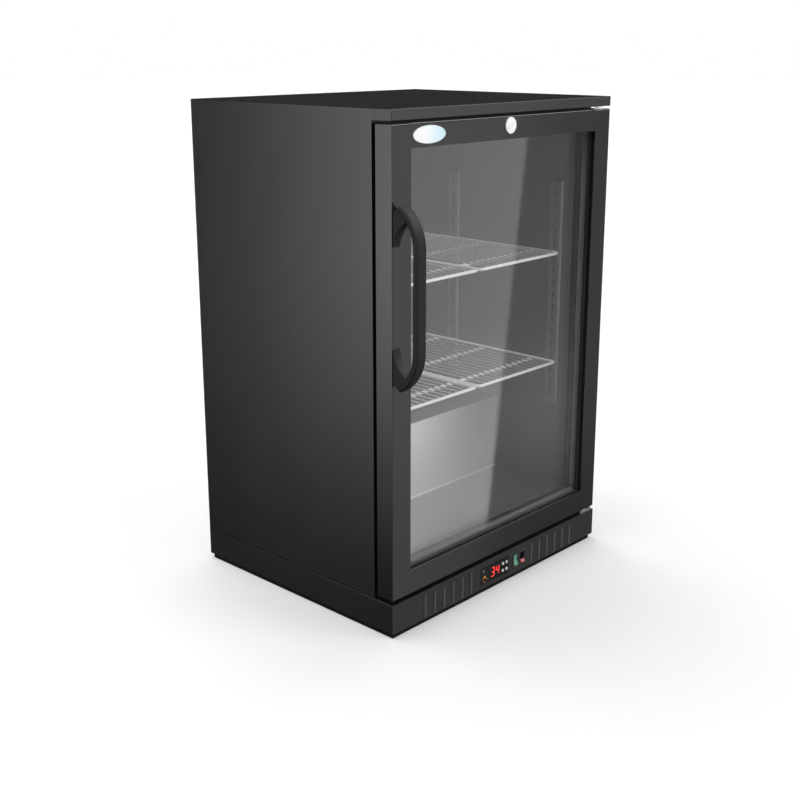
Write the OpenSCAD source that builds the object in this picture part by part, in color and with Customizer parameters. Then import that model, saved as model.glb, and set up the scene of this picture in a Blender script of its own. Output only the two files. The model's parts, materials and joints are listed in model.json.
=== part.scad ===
// Under counter fridge with one glass door, two levels of wire shelves and a machine bay at the rear.
// Origin: centre of the footprint on the floor. +X to the hinge side, -Y to the front, +Z up.

/* [Cabinet] */
// Outer width of the cabinet
body_w = 600; // [580:2:640]
// Depth of the cabinet, from the face of the door to the back sheet
body_d = 500; // [490:2:540]
// Height from the floor to the top of the worktop
body_h = 894; // [884:2:920]
// Thickness of the worktop
top_t = 18; // [15:0.5:20]
// Thickness of the outer steel sheet
skin_t = 2; // [1.5:0.25:2.5]
// Thickness of the aluminium lining
liner_t = 1; // [0.8:0.1:1.4]
// Distance from the outer side to the face of the lining
wall_t = 46; // [44:1:50]
// Height of the inside floor
floor_z = 115; // [110:1:118]
// Distance from the top of the worktop to the inside ceiling
ceiling_drop = 62; // [58:1:66]
// Thickness of the insulated rear wall
rear_wall_t = 63; // [60:1:68]
// Depth of the cover over the machine bay
rear_cover_d = 28; // [24:1:36]

/* [Step over the machine bay] */
// Distance from the front of the cabinet to the riser of the step
step_setback = 222; // [216:1:228]
// Height of the top of the step
step_z = 271; // [266:1:276]
// Thickness of the insulation in the step
step_wall = 36; // [34:1:38]

/* [Base] */
// Height of the top of the base
base_top = 62; // [60:0.5:64]
// Height of the lower edge of the side panels of the base
base_bottom = 8; // [7:0.5:10]
// Thickness of the rubber pads under the tray
pad_t = 1; // [1:0.5:3]
// Distance between neighbouring ribs on the kick plate
rib_pitch = 25.2; // [24:0.1:26]
// Number of ribs on each side of the kick plate
rib_count = 6; // [4:1:7]
// Distance from the middle of the kick plate to the innermost rib
rib_start = 91; // [90:1:95]

/* [Door] */
// Thickness of the door frame
door_t = 36; // [34:0.5:38]
// Clear distance between the frame of the door and the cabinet, filled by the seal
seal_gap = 7; // [6:0.5:8]
// Gap between the top of the door and the worktop
door_gap_top = 5; // [4:0.5:8]
// Gap between the bottom of the door and the base
door_gap_bottom = 8; // [8:0.5:12]
// Visible width of the upright members of the door
stile_w = 45; // [44:0.5:50]
// Visible height of the top member of the door
rail_top_h = 39; // [38:0.5:42]
// Visible height of the bottom member of the door
rail_bottom_h = 44; // [40:0.5:46]
// Depth of the glass behind the face of the door
glass_recess = 12; // [11:0.5:13]
// Thickness of one pane
pane_t = 4; // [3:0.5:4]
// Distance between the two panes
pane_gap = 12; // [10:0.5:12]

/* [Handle] */
// Distance the bow stands out from the face of the door
handle_out = 56; // [50:1:62]
// Width of the bow
handle_w = 21; // [18:1:24]
// Thickness of the bow
handle_t = 12; // [10:0.5:14]
// Outer bend radius of the bow
handle_r = 80; // [76:1:88]
// Length of the straight stretch of the bow
handle_straight = 164; // [120:1:180]
// Height of the middle of the handle
handle_z = 597; // [560:0.5:620]

/* [Shelves] */
// Height of the top of the lower shelf
shelf_low_z = 380; // [360:5:400]
// Height of the top of the upper shelf
shelf_high_z = 600; // [580:5:620]
// Diameter of the fine wires
wire_d = 3.4; // [3:0.1:4]
// Diameter of the rim and of the cross rods
rod_d = 6; // [5:0.25:7]
// Number of fine wires in one half of a shelf
wire_count = 13; // [9:1:15]
// Corner radius of the rim, measured on its centre line
rim_r = 8; // [6:1:16]

/* [Hidden] */
$fn = 48;

// Main planes of the cabinet
half_w = body_w / 2;
front_y = -(body_d + rear_cover_d + handle_out) / 2 + handle_out;
rear_y = front_y + body_d;
cover_y = rear_y + rear_cover_d;
face_y = front_y + door_t + seal_gap;
top_z = body_h - top_t;
ceiling_z = body_h - ceiling_drop;
inner_x = half_w - wall_t;
inner_rear_y = rear_y - rear_wall_t;
step_y = front_y + step_setback;
panel_z = base_top + 1;
bay_top_z = step_z - step_wall;
bay_front_y = step_y + step_wall + 4;
floor_foam_z = floor_z - 43;
foam_rear_y = rear_y - skin_t;

// Colours of the main materials
black_steel = [0.12, 0.12, 0.13];
black_plastic = [0.09, 0.09, 0.1];
bright_liner = [0.72, 0.73, 0.75];
foam_yellow = [0.9, 0.84, 0.62];
copper_red = [0.72, 0.43, 0.28];
zinc_grey = [0.62, 0.64, 0.66];
rubber_black = [0.05, 0.05, 0.05];

// A block between two corners, given as its span along each axis
module block(x, y, z)
    translate([x[0], y[0], z[0]]) cube([x[1] - x[0], y[1] - y[0], z[1] - z[0]]);

// A round bar along Y, from y[0] to y[1]
module bar_y(x, y, z, d)
    translate([x, y[1], z]) rotate([90, 0, 0]) cylinder(h = y[1] - y[0], d = d);

// A round bar along X, from x[0] to x[1]
module bar_x(x, y, z, d)
    translate([x[0], y, z]) rotate([0, 90, 0]) cylinder(h = x[1] - x[0], d = d);

// The shape in both halves, mirrored about the middle of the width
module both_sides() {
    children();
    mirror([1, 0, 0]) children();
}

// ---- Cabinet shell ----

lock_x = -5;
lock_z = top_z - door_gap_top - 16;
cam_r = 30;
cam_y = front_y + 9;
cam_t = 3;
cam_room = 3;
pivot_x = half_w - 14;
pivot_y = front_y + 18;
bracket_t = 3;
bracket_x = [pivot_x - 24, half_w - 2];
bracket_y = [pivot_y - 14, pivot_y + 16];

// Slot round the swinging cam of the lock, between two heights
module cam_slot(z)
    block([lock_x - 16, lock_x + cam_r + 4], [cam_y - cam_room, cam_y + cam_t + cam_room], z);

module worktop() color(black_steel) difference() {
    union() {
        block([-half_w, half_w], [front_y, face_y], [top_z, body_h]);
        block([-half_w + skin_t, half_w - skin_t], [face_y - 1, rear_y], [top_z, body_h]);
    }
    cam_slot([top_z - 1, top_z + 13]);
    block(bracket_x, bracket_y, [top_z - 1, top_z + bracket_t]);
}

// Outer sheet of one side with its return flange beside the door opening
module side_panel() {
    block([-half_w, -half_w + skin_t], [face_y, rear_y], [panel_z, body_h]);
    block([-half_w, -inner_x], [face_y, face_y + skin_t], [panel_z, top_z]);
}

module side_panel_left() color(black_steel) side_panel();

module side_panel_right() color(black_steel) mirror([1, 0, 0]) side_panel();

// Back sheet, with an opening into the machine bay behind the rear cover
module back_panel() color(black_steel) difference() {
    block([-half_w + skin_t, half_w - skin_t], [foam_rear_y, rear_y], [base_bottom, top_z]);
    block([-cover_half + 8, cover_half - 8], [foam_rear_y - 1, rear_y + 1], [cover_z[0] + 8, bay_top_z]);
}

// Sheet strips above and below the door opening, between the side flanges
module face_rails() color(black_steel) {
    block([-inner_x, inner_x], [face_y, face_y + skin_t], [ceiling_z, top_z]);
    block([-inner_x, inner_x], [face_y, face_y + skin_t], [panel_z, floor_z - liner_t]);
}

// ---- Insulation ----

foam_front_y = face_y + skin_t;

module side_insulation() color(foam_yellow) both_sides()
    block([inner_x + liner_t, half_w - skin_t], [foam_front_y, foam_rear_y], [floor_foam_z, top_z]);

module top_insulation() color(foam_yellow)
    block([-inner_x - liner_t, inner_x + liner_t], [foam_front_y, foam_rear_y],
        [ceiling_z + liner_t, top_z]);

coil_room_z = ceiling_z - 90;
coil_room_depth = 31;
coil_room_half = inner_x - 12;

module back_insulation() color(foam_yellow) difference() {
    block([-inner_x - liner_t, inner_x + liner_t], [inner_rear_y + liner_t, foam_rear_y],
        [step_z - liner_t, ceiling_z + liner_t]);
    block([-coil_room_half, coil_room_half], [inner_rear_y, inner_rear_y + coil_room_depth],
        [coil_room_z, ceiling_z - 2]);
}

module floor_insulation() color(foam_yellow)
    block([-inner_x - liner_t, inner_x + liner_t], [foam_front_y, step_y + liner_t],
        [floor_foam_z, floor_z - liner_t]);

module step_insulation() color(foam_yellow) {
    block([-inner_x - liner_t, inner_x + liner_t], [step_y + liner_t, bay_front_y],
        [floor_foam_z, step_z - liner_t]);
    block([-inner_x - liner_t, inner_x + liner_t], [bay_front_y, foam_rear_y],
        [bay_top_z, step_z - liner_t]);
}

// ---- Aluminium lining ----

// Sheets on both side walls, cut away behind the step
module side_liners() color(bright_liner) both_sides() difference() {
    block([inner_x, inner_x + liner_t], [foam_front_y, inner_rear_y], [floor_z, ceiling_z]);
    block([inner_x - 1, inner_x + liner_t + 1], [step_y, inner_rear_y + 1], [floor_z - 1, step_z]);
}

module liner_back() color(bright_liner)
    block([-inner_x, inner_x], [inner_rear_y, inner_rear_y + liner_t], [step_z, coil_room_z]);

module liner_ceiling() color(bright_liner)
    block([-inner_x, inner_x], [foam_front_y, inner_rear_y], [ceiling_z, ceiling_z + liner_t]);

module liner_floor() color(bright_liner)
    block([-inner_x, inner_x], [foam_front_y, step_y], [floor_z - liner_t, floor_z]);

module step_liner() color(bright_liner) {
    block([-inner_x, inner_x], [step_y, step_y + liner_t], [floor_z - liner_t, step_z]);
    block([-inner_x, inner_x], [step_y, inner_rear_y], [step_z - liner_t, step_z]);
}

// ---- Shelf standards, clips and wire shelves ----

standard_w = 24;
standard_d = 8;
standard_t = 1.5;
standard_z = [285, 733];
standard_front_ys = [face_y + 25, face_y + 287];
slot_first = 18;
slot_pitch = 25;
slot_h = 13;
slot_w = 6;
slot_count = 17;
clip_t = 1.5;
clip_inset = 6;
clip_below = 22;
clip_above = 4;
ledge_reach = 11.5;
ledge_t = 2;
shelf_y = [face_y + 20, inner_rear_y - 17];
shelf_play = 0.5;
shelf_half = inner_x - standard_d - clip_t - shelf_play;
shelf_gap = 4;
rod_drop = wire_d + rod_d / 2 - 0.4;
rim_drop = wire_d + rod_d / 2 - 1.2;
rod_spots = [1 / 7, 1 / 2, 6 / 7];
saddle_inset = 60;
saddle_w = 12;
saddle_t = 2;

// One slotted channel on the left wall, with its front edge at y
module standard(y) difference() {
    block([-inner_x, -inner_x + standard_d], [y, y + standard_w], standard_z);
    block([-inner_x - 1, -inner_x + standard_d - standard_t],
        [y + standard_t, y + standard_w - standard_t],
        [standard_z[0] - 1, standard_z[1] + 1]);
    for (i = [0 : slot_count - 1])
        translate([0, 0, standard_z[0] + slot_first + i * slot_pitch])
            block([-inner_x, -inner_x + standard_d + 1],
                [y + (standard_w - slot_w) / 2, y + (standard_w + slot_w) / 2], [0, slot_h]);
}

module shelf_standards() color(zinc_grey) both_sides()
    for (y = standard_front_ys) standard(y);

// A bent clip hooked into the standard, with a ledge whose top is at z under the rim of the shelf
module clip(y, z) {
    plate_x = [-inner_x + standard_d, -inner_x + standard_d + clip_t];
    clip_y = [y + clip_inset, y + standard_w - clip_inset];
    block(plate_x, clip_y, [z - clip_below, z + clip_above]);
    block([plate_x[1], plate_x[1] + ledge_reach], clip_y, [z - ledge_t, z]);
}

module shelf_clips() color(zinc_grey) both_sides()
    for (y = standard_front_ys, top = [shelf_low_z, shelf_high_z])
        clip(y, top - rod_drop - rod_d / 2);

// A quarter of the rim round the corner centred at c, starting at angle a
module rim_corner(c, a)
    translate(c) rotate([0, 0, a]) rotate_extrude(angle = 90)
        translate([rim_r, 0]) circle(d = rod_d, $fn = 24);

// Half a shelf: rim, cross rods and fine wires from the front to the rear
module shelf_half_grid(top) {
    x = [shelf_gap / 2 + rod_d / 2, shelf_half - rod_d / 2];
    y = [shelf_y[0] + rod_d / 2, shelf_y[1] - rod_d / 2];
    z = top - rim_drop;
    pitch = (x[1] - x[0]) / (wire_count + 1);
    for (side = x) bar_y(side, [y[0] + rim_r, y[1] - rim_r], z, rod_d, $fn = 24);
    for (end = y) bar_x([x[0] + rim_r, x[1] - rim_r], end, z, rod_d, $fn = 24);
    rim_corner([x[1] - rim_r, y[1] - rim_r, z], 0);
    rim_corner([x[0] + rim_r, y[1] - rim_r, z], 90);
    rim_corner([x[0] + rim_r, y[0] + rim_r, z], 180);
    rim_corner([x[1] - rim_r, y[0] + rim_r, z], 270);
    for (spot = rod_spots)
        bar_x(x, y[0] + (y[1] - y[0]) * spot, top - rod_drop, rod_d, $fn = 24);
    for (i = [1 : wire_count])
        bar_y(x[0] + i * pitch, y, top - wire_d / 2, wire_d, $fn = 8);
}

// Two half grids side by side, tied together by short saddles
module shelf(top) {
    reach = (shelf_gap + rod_d) / 2;
    both_sides() shelf_half_grid(top);
    for (y = [shelf_y[0] + saddle_inset, shelf_y[1] - saddle_inset])
        block([-reach, reach], [y - saddle_w / 2, y + saddle_w / 2],
            [top - rim_drop - saddle_t / 2, top - rim_drop + saddle_t / 2]);
}

module upper_shelf() color(zinc_grey) shelf(shelf_high_z);

module lower_shelf() color(zinc_grey) shelf(shelf_low_z);

// ---- Evaporator and lamp under the ceiling ----

cover_front_y = inner_rear_y - 29;
cover_t = 1.5;
fan_axis_z = ceiling_z - 45;
fan_d = 66;
vent_w = 8;
vent_first = 80;
vent_pitch = 24;
vent_count = 6;
vent_y = [cover_front_y + 8, inner_rear_y - 6];
fin_t = 1;
evap_x = [58, 226];
evap_y = [cover_front_y + 8, cover_front_y + 52];
evap_z = [coil_room_z + 8, ceiling_z - 8];
evap_fins = 14;
evap_tube_d = 8;
evap_tube_step = 24;
evap_tube_end = 4;

// Front and underside of the evaporator, with a round fan opening and two rows of slots
module evaporator_cover() color(bright_liner) difference() {
    union() {
        block([-inner_x + 1, inner_x - 1], [cover_front_y, cover_front_y + cover_t],
            [coil_room_z, ceiling_z - 1]);
        block([-inner_x + 1, inner_x - 1], [cover_front_y, inner_rear_y],
            [coil_room_z, coil_room_z + cover_t]);
    }
    bar_y(0, [cover_front_y - 1, cover_front_y + cover_t + 1], fan_axis_z, fan_d + 6);
    both_sides() for (i = [0 : vent_count - 1])
        translate([vent_first + i * vent_pitch, 0, 0])
            block([-vent_w / 2, vent_w / 2], vent_y, [coil_room_z - 1, coil_room_z + cover_t + 1]);
}

// Start of fin i where count fins fill a span
function fin_start(span, count, i) = span[0] + i * (span[1] - span[0] - fin_t) / (count - 1);

// Two finned blocks, one on each side of the fan, with three tubes through each
module evaporator_coil() color([0.75, 0.76, 0.78]) both_sides() {
    for (i = [0 : evap_fins - 1]) {
        x = fin_start(evap_x, evap_fins, i);
        block([x, x + fin_t], evap_y, evap_z);
    }
    for (row = [-1 : 1])
        bar_x([evap_x[0] - evap_tube_end, evap_x[1] + evap_tube_end], (evap_y[0] + evap_y[1]) / 2,
            fan_axis_z + row * evap_tube_step, evap_tube_d);
}

evap_fan_y = cover_front_y + 15;
evap_shaft_d = 4;
evap_motor_d = 34;
evap_motor_y = [evap_fan_y + 9, evap_fan_y + 35];
evap_arm_y = [evap_fan_y + 25, evap_fan_y + 29];
arm_w = 6;
arm_reach = 42;

// Motor behind the fan, on four arms
module evaporator_fan_motor() color(black_plastic) {
    bar_y(0, evap_motor_y, fan_axis_z, evap_motor_d);
    bar_y(0, [evap_fan_y - 7, evap_motor_y[0]], fan_axis_z, evap_shaft_d);
    for (a = [45 : 90 : 315])
        translate([0, 0, fan_axis_z]) rotate([0, a, 0])
            block([0, arm_reach], evap_arm_y, [-arm_w / 2, arm_w / 2]);
}

blade_pitch = 32;

// A fan with pitched blades about the Y axis, centred at the origin, with a bore for its shaft
module fan(d, hub_d, hub_l, blade_t, shaft_d, blades) difference() {
    union() {
        bar_y(0, [-hub_l / 2, hub_l / 2], 0, hub_d);
        for (i = [0 : blades - 1])
            rotate([0, i * 360 / blades, 0]) translate([hub_d / 2 - 1, 0, 0]) rotate([blade_pitch, 0, 0])
                block([0, (d - hub_d) / 2], [-blade_t / 2, blade_t / 2], [-d / 7, d / 7]);
    }
    bar_y(0, [-hub_l, hub_l], 0, shaft_d + 0.1);
}

module evaporator_fan() color(black_plastic)
    translate([0, evap_fan_y, fan_axis_z])
        fan(d = fan_d - 4, hub_d = 20, hub_l = 10, blade_t = 1.2, shaft_d = evap_shaft_d, blades = 5);

lamp_half = 200;
lamp_y = [face_y + 26, face_y + 48];
lamp_h = 9;
lamp_end = 8;

// Lamp under the front of the ceiling, with a finger recess at each end
module interior_lamp() color([0.94, 0.95, 0.97]) difference() {
    block([-lamp_half, lamp_half], lamp_y, [ceiling_z - lamp_h, ceiling_z]);
    both_sides() block([lamp_half - lamp_end, lamp_half + 1], [lamp_y[0] + 6, lamp_y[1] - 6],
        [ceiling_z - lamp_h - 1, ceiling_z - lamp_h / 2]);
}

// ---- Base ----

tray_inset = 1;
tray_inset_right = 12;
tray_rear = 10;
rail_w = 20;
rail_h = 20;
rail_start = 60;

// Flat tray, cut back at its right end, with a runner along each side
module base_tray() color(black_steel) {
    block([-half_w + tray_inset, half_w - tray_inset_right], [front_y + 1, rear_y - tray_rear],
        [pad_t, base_bottom]);
    both_sides() block([half_w - skin_t - rail_w, half_w - skin_t],
        [front_y + rail_start, rear_y - tray_rear], [base_bottom, base_bottom + rail_h]);
}

module base_sides() color(black_steel) both_sides()
    block([-half_w, -half_w + skin_t], [front_y, rear_y], [base_bottom, base_top]);

kick_t = 3;
rib_d = 6.5;
rib_z = [11, 53];
window_x = [-63, 21];
window_h = 34;
control_z = 33;
switch_w = 16;
switch_h = 28;
power_x = 41.5;
light_x = 62;

// Opening through the front of the base round the control height, w wide about x
module control_opening(x, h)
    block(x, [front_y - 1, front_y + kick_t + 1], [control_z - h / 2, control_z + h / 2]);

// Front of the base: a plate with a top return, raised ribs and openings for the controls
module kick_plate() color(black_plastic) difference() {
    union() {
        block([-half_w + skin_t, half_w - skin_t], [front_y, front_y + kick_t], [base_bottom, base_top]);
        block([-half_w + skin_t, half_w - skin_t], [front_y, face_y], [base_top - kick_t, base_top]);
        both_sides() for (i = [0 : rib_count - 1])
            translate([rib_start + i * rib_pitch, front_y + 1, rib_z[0]])
                cylinder(h = rib_z[1] - rib_z[0], d = rib_d);
    }
    control_opening(window_x, window_h);
    for (x = [power_x, light_x])
        control_opening([x - switch_w / 2, x + switch_w / 2], switch_h);
}

pad_d = 50;
pad_x = half_w - 40;
pad_ys = [front_y + 40, rear_y - 45];

module rubber_pads() color(rubber_black) both_sides()
    for (y = pad_ys) translate([pad_x, y, 0]) cylinder(h = pad_t, d = pad_d);

// ---- Controller and switches ----

button_d = 6;
button_bore = button_d + 0.8;
button_xs = [2, 13];
button_rise = 7;
button_proud = 1.8;
button_rim = 1;
button_rim_t = 1.5;
film_gap = 0.5;
film_proud = 0.5;
box_wall = 2;
box_depth = 45;
box_room = 9;

// Box behind the kick plate that carries the display and the buttons
module controller_housing() color(black_plastic) difference() {
    block([window_x[0] - box_wall, window_x[1] + box_wall],
        [front_y + kick_t, front_y + kick_t + box_depth], [base_bottom + 2, base_top - 4]);
    block([window_x[0] + 1, window_x[1] - 1], [front_y + kick_t - 1, front_y + kick_t + box_room],
        [control_z - window_h / 2 + 1, control_z + window_h / 2 - 1]);
}

// Dark front film over the display, with a hole for each button
module controller_window() color([0.03, 0.03, 0.035]) difference() {
    block([window_x[0] + film_gap, window_x[1] - film_gap], [front_y - film_proud, front_y + kick_t],
        [control_z - window_h / 2 + film_gap, control_z + window_h / 2 - film_gap]);
    for (x = button_xs, side = [-1, 1])
        bar_y(x, [front_y - 2, front_y + kick_t + 1], control_z + side * button_rise, button_bore);
}

// A round button at x, above or below the middle, with a rim behind the film
module button(x, side) color([0.93, 0.93, 0.92]) {
    z = control_z + side * button_rise;
    rim_y = front_y + kick_t + 0.1;
    bar_y(x, [front_y - button_proud, rim_y], z, button_d);
    bar_y(x, [rim_y, rim_y + button_rim_t], z, button_d + 2 * button_rim);
}

module set_button() button(button_xs[0], 1);
module up_button() button(button_xs[1], 1);
module defrost_button() button(button_xs[0], -1);
module down_button() button(button_xs[1], -1);

bezel_lip = 1.5;
bezel_proud = 1.2;
bezel_depth = 26;
bezel_play = 0.2;
bezel_wall = 2.2;
rocker_y = front_y + 6;
rocker_tilt = 9;
rocker_play = 0.3;
rocker_w = switch_w - 2 * (bezel_wall + rocker_play);
rocker_reach = switch_h / 2 - bezel_wall - 1.6;
axle_d = 2.4;
axle_half = switch_w / 2 - 1;
axle_play = 0.1;

// Frame of one switch, with a well for the rocker and a bore for its axle
module switch_bezel(x) translate([x, 0, control_z]) difference() {
    union() {
        block([-switch_w / 2 - bezel_lip, switch_w / 2 + bezel_lip], [front_y - bezel_proud, front_y],
            [-switch_h / 2 - bezel_lip, switch_h / 2 + bezel_lip]);
        block([-switch_w / 2 + bezel_play, switch_w / 2 - bezel_play], [front_y, front_y + bezel_depth],
            [-switch_h / 2 + bezel_play, switch_h / 2 - bezel_play]);
    }
    block([-switch_w / 2 + bezel_wall, switch_w / 2 - bezel_wall], [front_y - 2, front_y + 15],
        [-switch_h / 2 + bezel_wall, switch_h / 2 - bezel_wall]);
    bar_x([-axle_half - axle_play, axle_half + axle_play], rocker_y, 0, axle_d + 2 * axle_play);
}

module switch_bezels() color(black_plastic) {
    switch_bezel(power_x);
    switch_bezel(light_x);
}

// Rocker on its axle: two faces that meet in a shallow valley, with the upper end pressed in
module rocker(x) translate([x, rocker_y, control_z]) {
    translate([-rocker_w / 2, 0, 0]) rotate([90, 0, 90]) rotate([0, 0, -rocker_tilt])
        linear_extrude(rocker_w) polygon([
            [-8.2, rocker_reach], [-5.8, 0], [-8.2, -rocker_reach],
            [1, -rocker_reach + 4], [4, 0], [1, rocker_reach - 4]]);
    bar_x([-axle_half, axle_half], 0, 0, axle_d);
}

module power_rocker() color([0.1, 0.55, 0.3]) rocker(power_x);
module light_rocker() color([0.8, 0.2, 0.25]) rocker(light_x);

// ---- Machine bay ----

comp_x = 120;
comp_y = bay_front_y + 100;
comp_foot_z = 24;
comp_r = 62;
comp_h = 158;
comp_low_r = 14;
comp_dome_r = 40;
foot_half = [80, 58];
foot_t = 3;
mount_reach = [70, 48];
mount_d = 22;
mount_neck_d = 13.6;
mount_bore_d = 14;
mount_neck = 8;
terminal_half = 24;
terminal_depth = 22;
terminal_z = [70, 120];

// The shape at each of the four corners of the compressor's foot
module at_mounts()
    for (x = [-1, 1], y = [-1, 1])
        translate([comp_x + x * mount_reach[0], comp_y + y * mount_reach[1], 0]) children();

// Welded hermetic shell on a foot plate, with its terminal box on the side
module compressor() color([0.07, 0.07, 0.08]) {
    translate([comp_x, comp_y, comp_foot_z]) rotate_extrude()
        polygon(concat([[0, 2], [comp_r - comp_low_r, 2]],
            [for (a = [-90 : 15 : 0])
                [comp_r - comp_low_r * (1 - cos(a)), 2 + comp_low_r * (1 + sin(a))]],
            [for (a = [0 : 15 : 90])
                [comp_r - comp_dome_r * (1 - cos(a)), comp_h - comp_dome_r * (1 - sin(a))]],
            [[0, comp_h]]));
    difference() {
        block([comp_x - foot_half[0], comp_x + foot_half[0]],
            [comp_y - foot_half[1], comp_y + foot_half[1]], [comp_foot_z, comp_foot_z + foot_t]);
        at_mounts() translate([0, 0, comp_foot_z - 1]) cylinder(h = foot_t + 2, d = mount_bore_d);
    }
    block([comp_x - terminal_half, comp_x + terminal_half],
        [comp_y - comp_r - terminal_depth, comp_y - comp_r + 8], terminal_z);
}

// Rubber feet with a neck through the foot plate
module compressor_mounts() color(rubber_black)
    at_mounts() translate([0, 0, base_bottom]) {
        cylinder(h = comp_foot_z - base_bottom, d = mount_d);
        cylinder(h = comp_foot_z - base_bottom + mount_neck, d = mount_neck_d);
    }

cond_x = [-238, -190];
cond_y = [bay_front_y + 20, foam_rear_y - 12];
cond_z = [24, 206];
cond_fins = 22;
cond_rows = 6;
cond_row_first = 20;
cond_row_pitch = 28;
cond_tube_d = 9;
cond_tube_end = 4;

// Finned condenser on its stand, with tubes along the bay
module condenser_coil() color(zinc_grey) {
    for (i = [0 : cond_fins - 1]) {
        y = fin_start(cond_y, cond_fins, i);
        block(cond_x, [y, y + fin_t], cond_z);
    }
    for (i = [0 : cond_rows - 1])
        bar_y((cond_x[0] + cond_x[1]) / 2, [cond_y[0] - cond_tube_end, cond_y[1] + cond_tube_end],
            cond_z[0] + cond_row_first + i * cond_row_pitch, cond_tube_d);
    block(cond_x, cond_y, [base_bottom, cond_z[0]]);
}

cfan_x = cond_x[1] + 28;
cfan_y = (cond_y[0] + cond_y[1]) / 2;
cfan_z = 114;
cfan_d = 142;
cfan_shaft_d = 6;
cmotor_d = 54;
cmotor_x = [cfan_x + 14, cfan_x + 62];
shroud_x = [cond_x[1] + 1, cond_x[1] + 24];
shroud_half = 88;
shroud_bore = cfan_d + 18;
spider_w = 12;
spider_x = [cfan_x + 24, cfan_x + 28];
spider_post = [86, 90];

// Shroud ring on the condenser, and the motor on its four arms
module condenser_fan_motor() color(black_plastic) {
    difference() {
        block(shroud_x, [cfan_y - shroud_half, cfan_y + shroud_half],
            [cfan_z - shroud_half, cfan_z + shroud_half]);
        bar_x([shroud_x[0] - 1, shroud_x[1] + 1], cfan_y, cfan_z, shroud_bore);
    }
    bar_x(cmotor_x, cfan_y, cfan_z, cmotor_d);
    bar_x([cfan_x - 6, cmotor_x[0]], cfan_y, cfan_z, cfan_shaft_d);
    for (a = [45 : 90 : 315]) translate([0, cfan_y, cfan_z]) rotate([a, 0, 0]) {
        block([shroud_x[0] + 1, spider_x[1]], spider_post, [-spider_w / 2, spider_w / 2]);
        block(spider_x, [cmotor_d / 2 - 7, spider_post[1]], [-spider_w / 2, spider_w / 2]);
    }
}

module condenser_fan() color(zinc_grey)
    translate([cfan_x, cfan_y, cfan_z]) rotate([0, 0, 90])
        fan(d = cfan_d, hub_d = 34, hub_l = 14, blade_t = 1.6, shaft_d = cfan_shaft_d, blades = 5);

drier_x = 18;
drier_y = rear_y - 40;
drier_d = 22;
drier_z = [90, 160];
pipe_d = 7;
elbow_d = 9;
pipe_z = [58, 210];

// Filter drier with its copper necks and the suction line up to the step
module filter_drier() color(copper_red) {
    translate([drier_x, drier_y, 0]) {
        translate([0, 0, drier_z[0]]) cylinder(h = drier_z[1] - drier_z[0], d = drier_d);
        translate([0, 0, pipe_z[0]]) cylinder(h = pipe_z[1] - pipe_z[0], d = pipe_d);
        for (z = pipe_z) translate([0, 0, z]) sphere(d = elbow_d);
    }
    bar_x([drier_x, comp_x - comp_r / 2], drier_y, pipe_z[0], pipe_d);
    bar_y(drier_x, [bay_front_y, drier_y], pipe_z[1], pipe_d);
}

pan_x = [-84, 20];
pan_y = [bay_front_y + 20, bay_front_y + 150];
pan_top = 40;
pan_t = 2;

module condensate_tray() color([0.16, 0.16, 0.17]) difference() {
    block(pan_x, pan_y, [base_bottom, pan_top]);
    block([pan_x[0] + pan_t, pan_x[1] - pan_t], [pan_y[0] + pan_t, pan_y[1] - pan_t],
        [base_bottom + pan_t, pan_top + 1]);
}

cover_half = 250;
cover_z = [20, 262];
louvre_columns = [-160, 0, 160];
louvre_half = 62;
louvre_rows = 9;
louvre_first = 36;
louvre_pitch = 21;
louvre_h = 8;
inlet_x = 200;
inlet_z = cover_z[0] + 16;
inlet_d = 16;
inlet_lip = 5;
inlet_bore = 8;

// Louvred cover with its rim turned towards the cabinet
module rear_cover() color(black_steel) difference() {
    block([-cover_half, cover_half], [rear_y, cover_y], cover_z);
    block([-cover_half + skin_t, cover_half - skin_t], [rear_y - 1, cover_y - skin_t],
        [cover_z[0] + skin_t, cover_z[1] - skin_t]);
    for (x = louvre_columns, row = [0 : louvre_rows - 1])
        translate([x, 0, cover_z[0] + louvre_first + row * louvre_pitch])
            block([-louvre_half, louvre_half], [cover_y - skin_t - 1, cover_y + 1], [0, louvre_h]);
    bar_y(inlet_x, [cover_y - skin_t - 1, cover_y + 1], inlet_z, inlet_d);
}

// Grommet in the lower corner of the rear cover where the supply lead enters
module cord_inlet() color(rubber_black) difference() {
    union() {
        bar_y(inlet_x, [cover_y - 6, cover_y], inlet_z, inlet_d - 0.2);
        bar_y(inlet_x, [cover_y - 6, cover_y - skin_t - 0.2], inlet_z, inlet_d + inlet_lip);
    }
    bar_y(inlet_x, [cover_y - 8, cover_y + 1], inlet_z, inlet_bore);
}

// ---- Hinges ----

pin_r = 4;
pin_reach = 20;
boss_h = 3;
boss_r = 7;

// Top plate let into the worktop and bottom plate on the base, each with its pin
module hinge_brackets() color([0.78, 0.78, 0.8]) {
    block(bracket_x, bracket_y, [top_z, top_z + bracket_t]);
    block(bracket_x, bracket_y, [base_top, base_top + bracket_t]);
    translate([pivot_x, pivot_y, 0]) {
        translate([0, 0, door_z[1] - pin_reach])
            cylinder(h = top_z - door_z[1] + pin_reach, r = pin_r);
        translate([0, 0, base_top]) {
            cylinder(h = door_z[0] - base_top + pin_reach, r = pin_r);
            cylinder(h = bracket_t + boss_h, r = boss_r);
        }
    }
}

// ---- Door ----

door_x = [-half_w, half_w - 1];
door_z = [base_top + door_gap_bottom, top_z - door_gap_top];
door_rear_y = front_y + door_t;
open_x = [door_x[0] + stile_w, door_x[1] - stile_w];
open_z = [door_z[0] + rail_bottom_h, door_z[1] - rail_top_h];
pane_y = front_y + glass_recess;
pack_t = 2 * pane_t + pane_gap;
groove = 9;
bush_d = 12;

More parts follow.
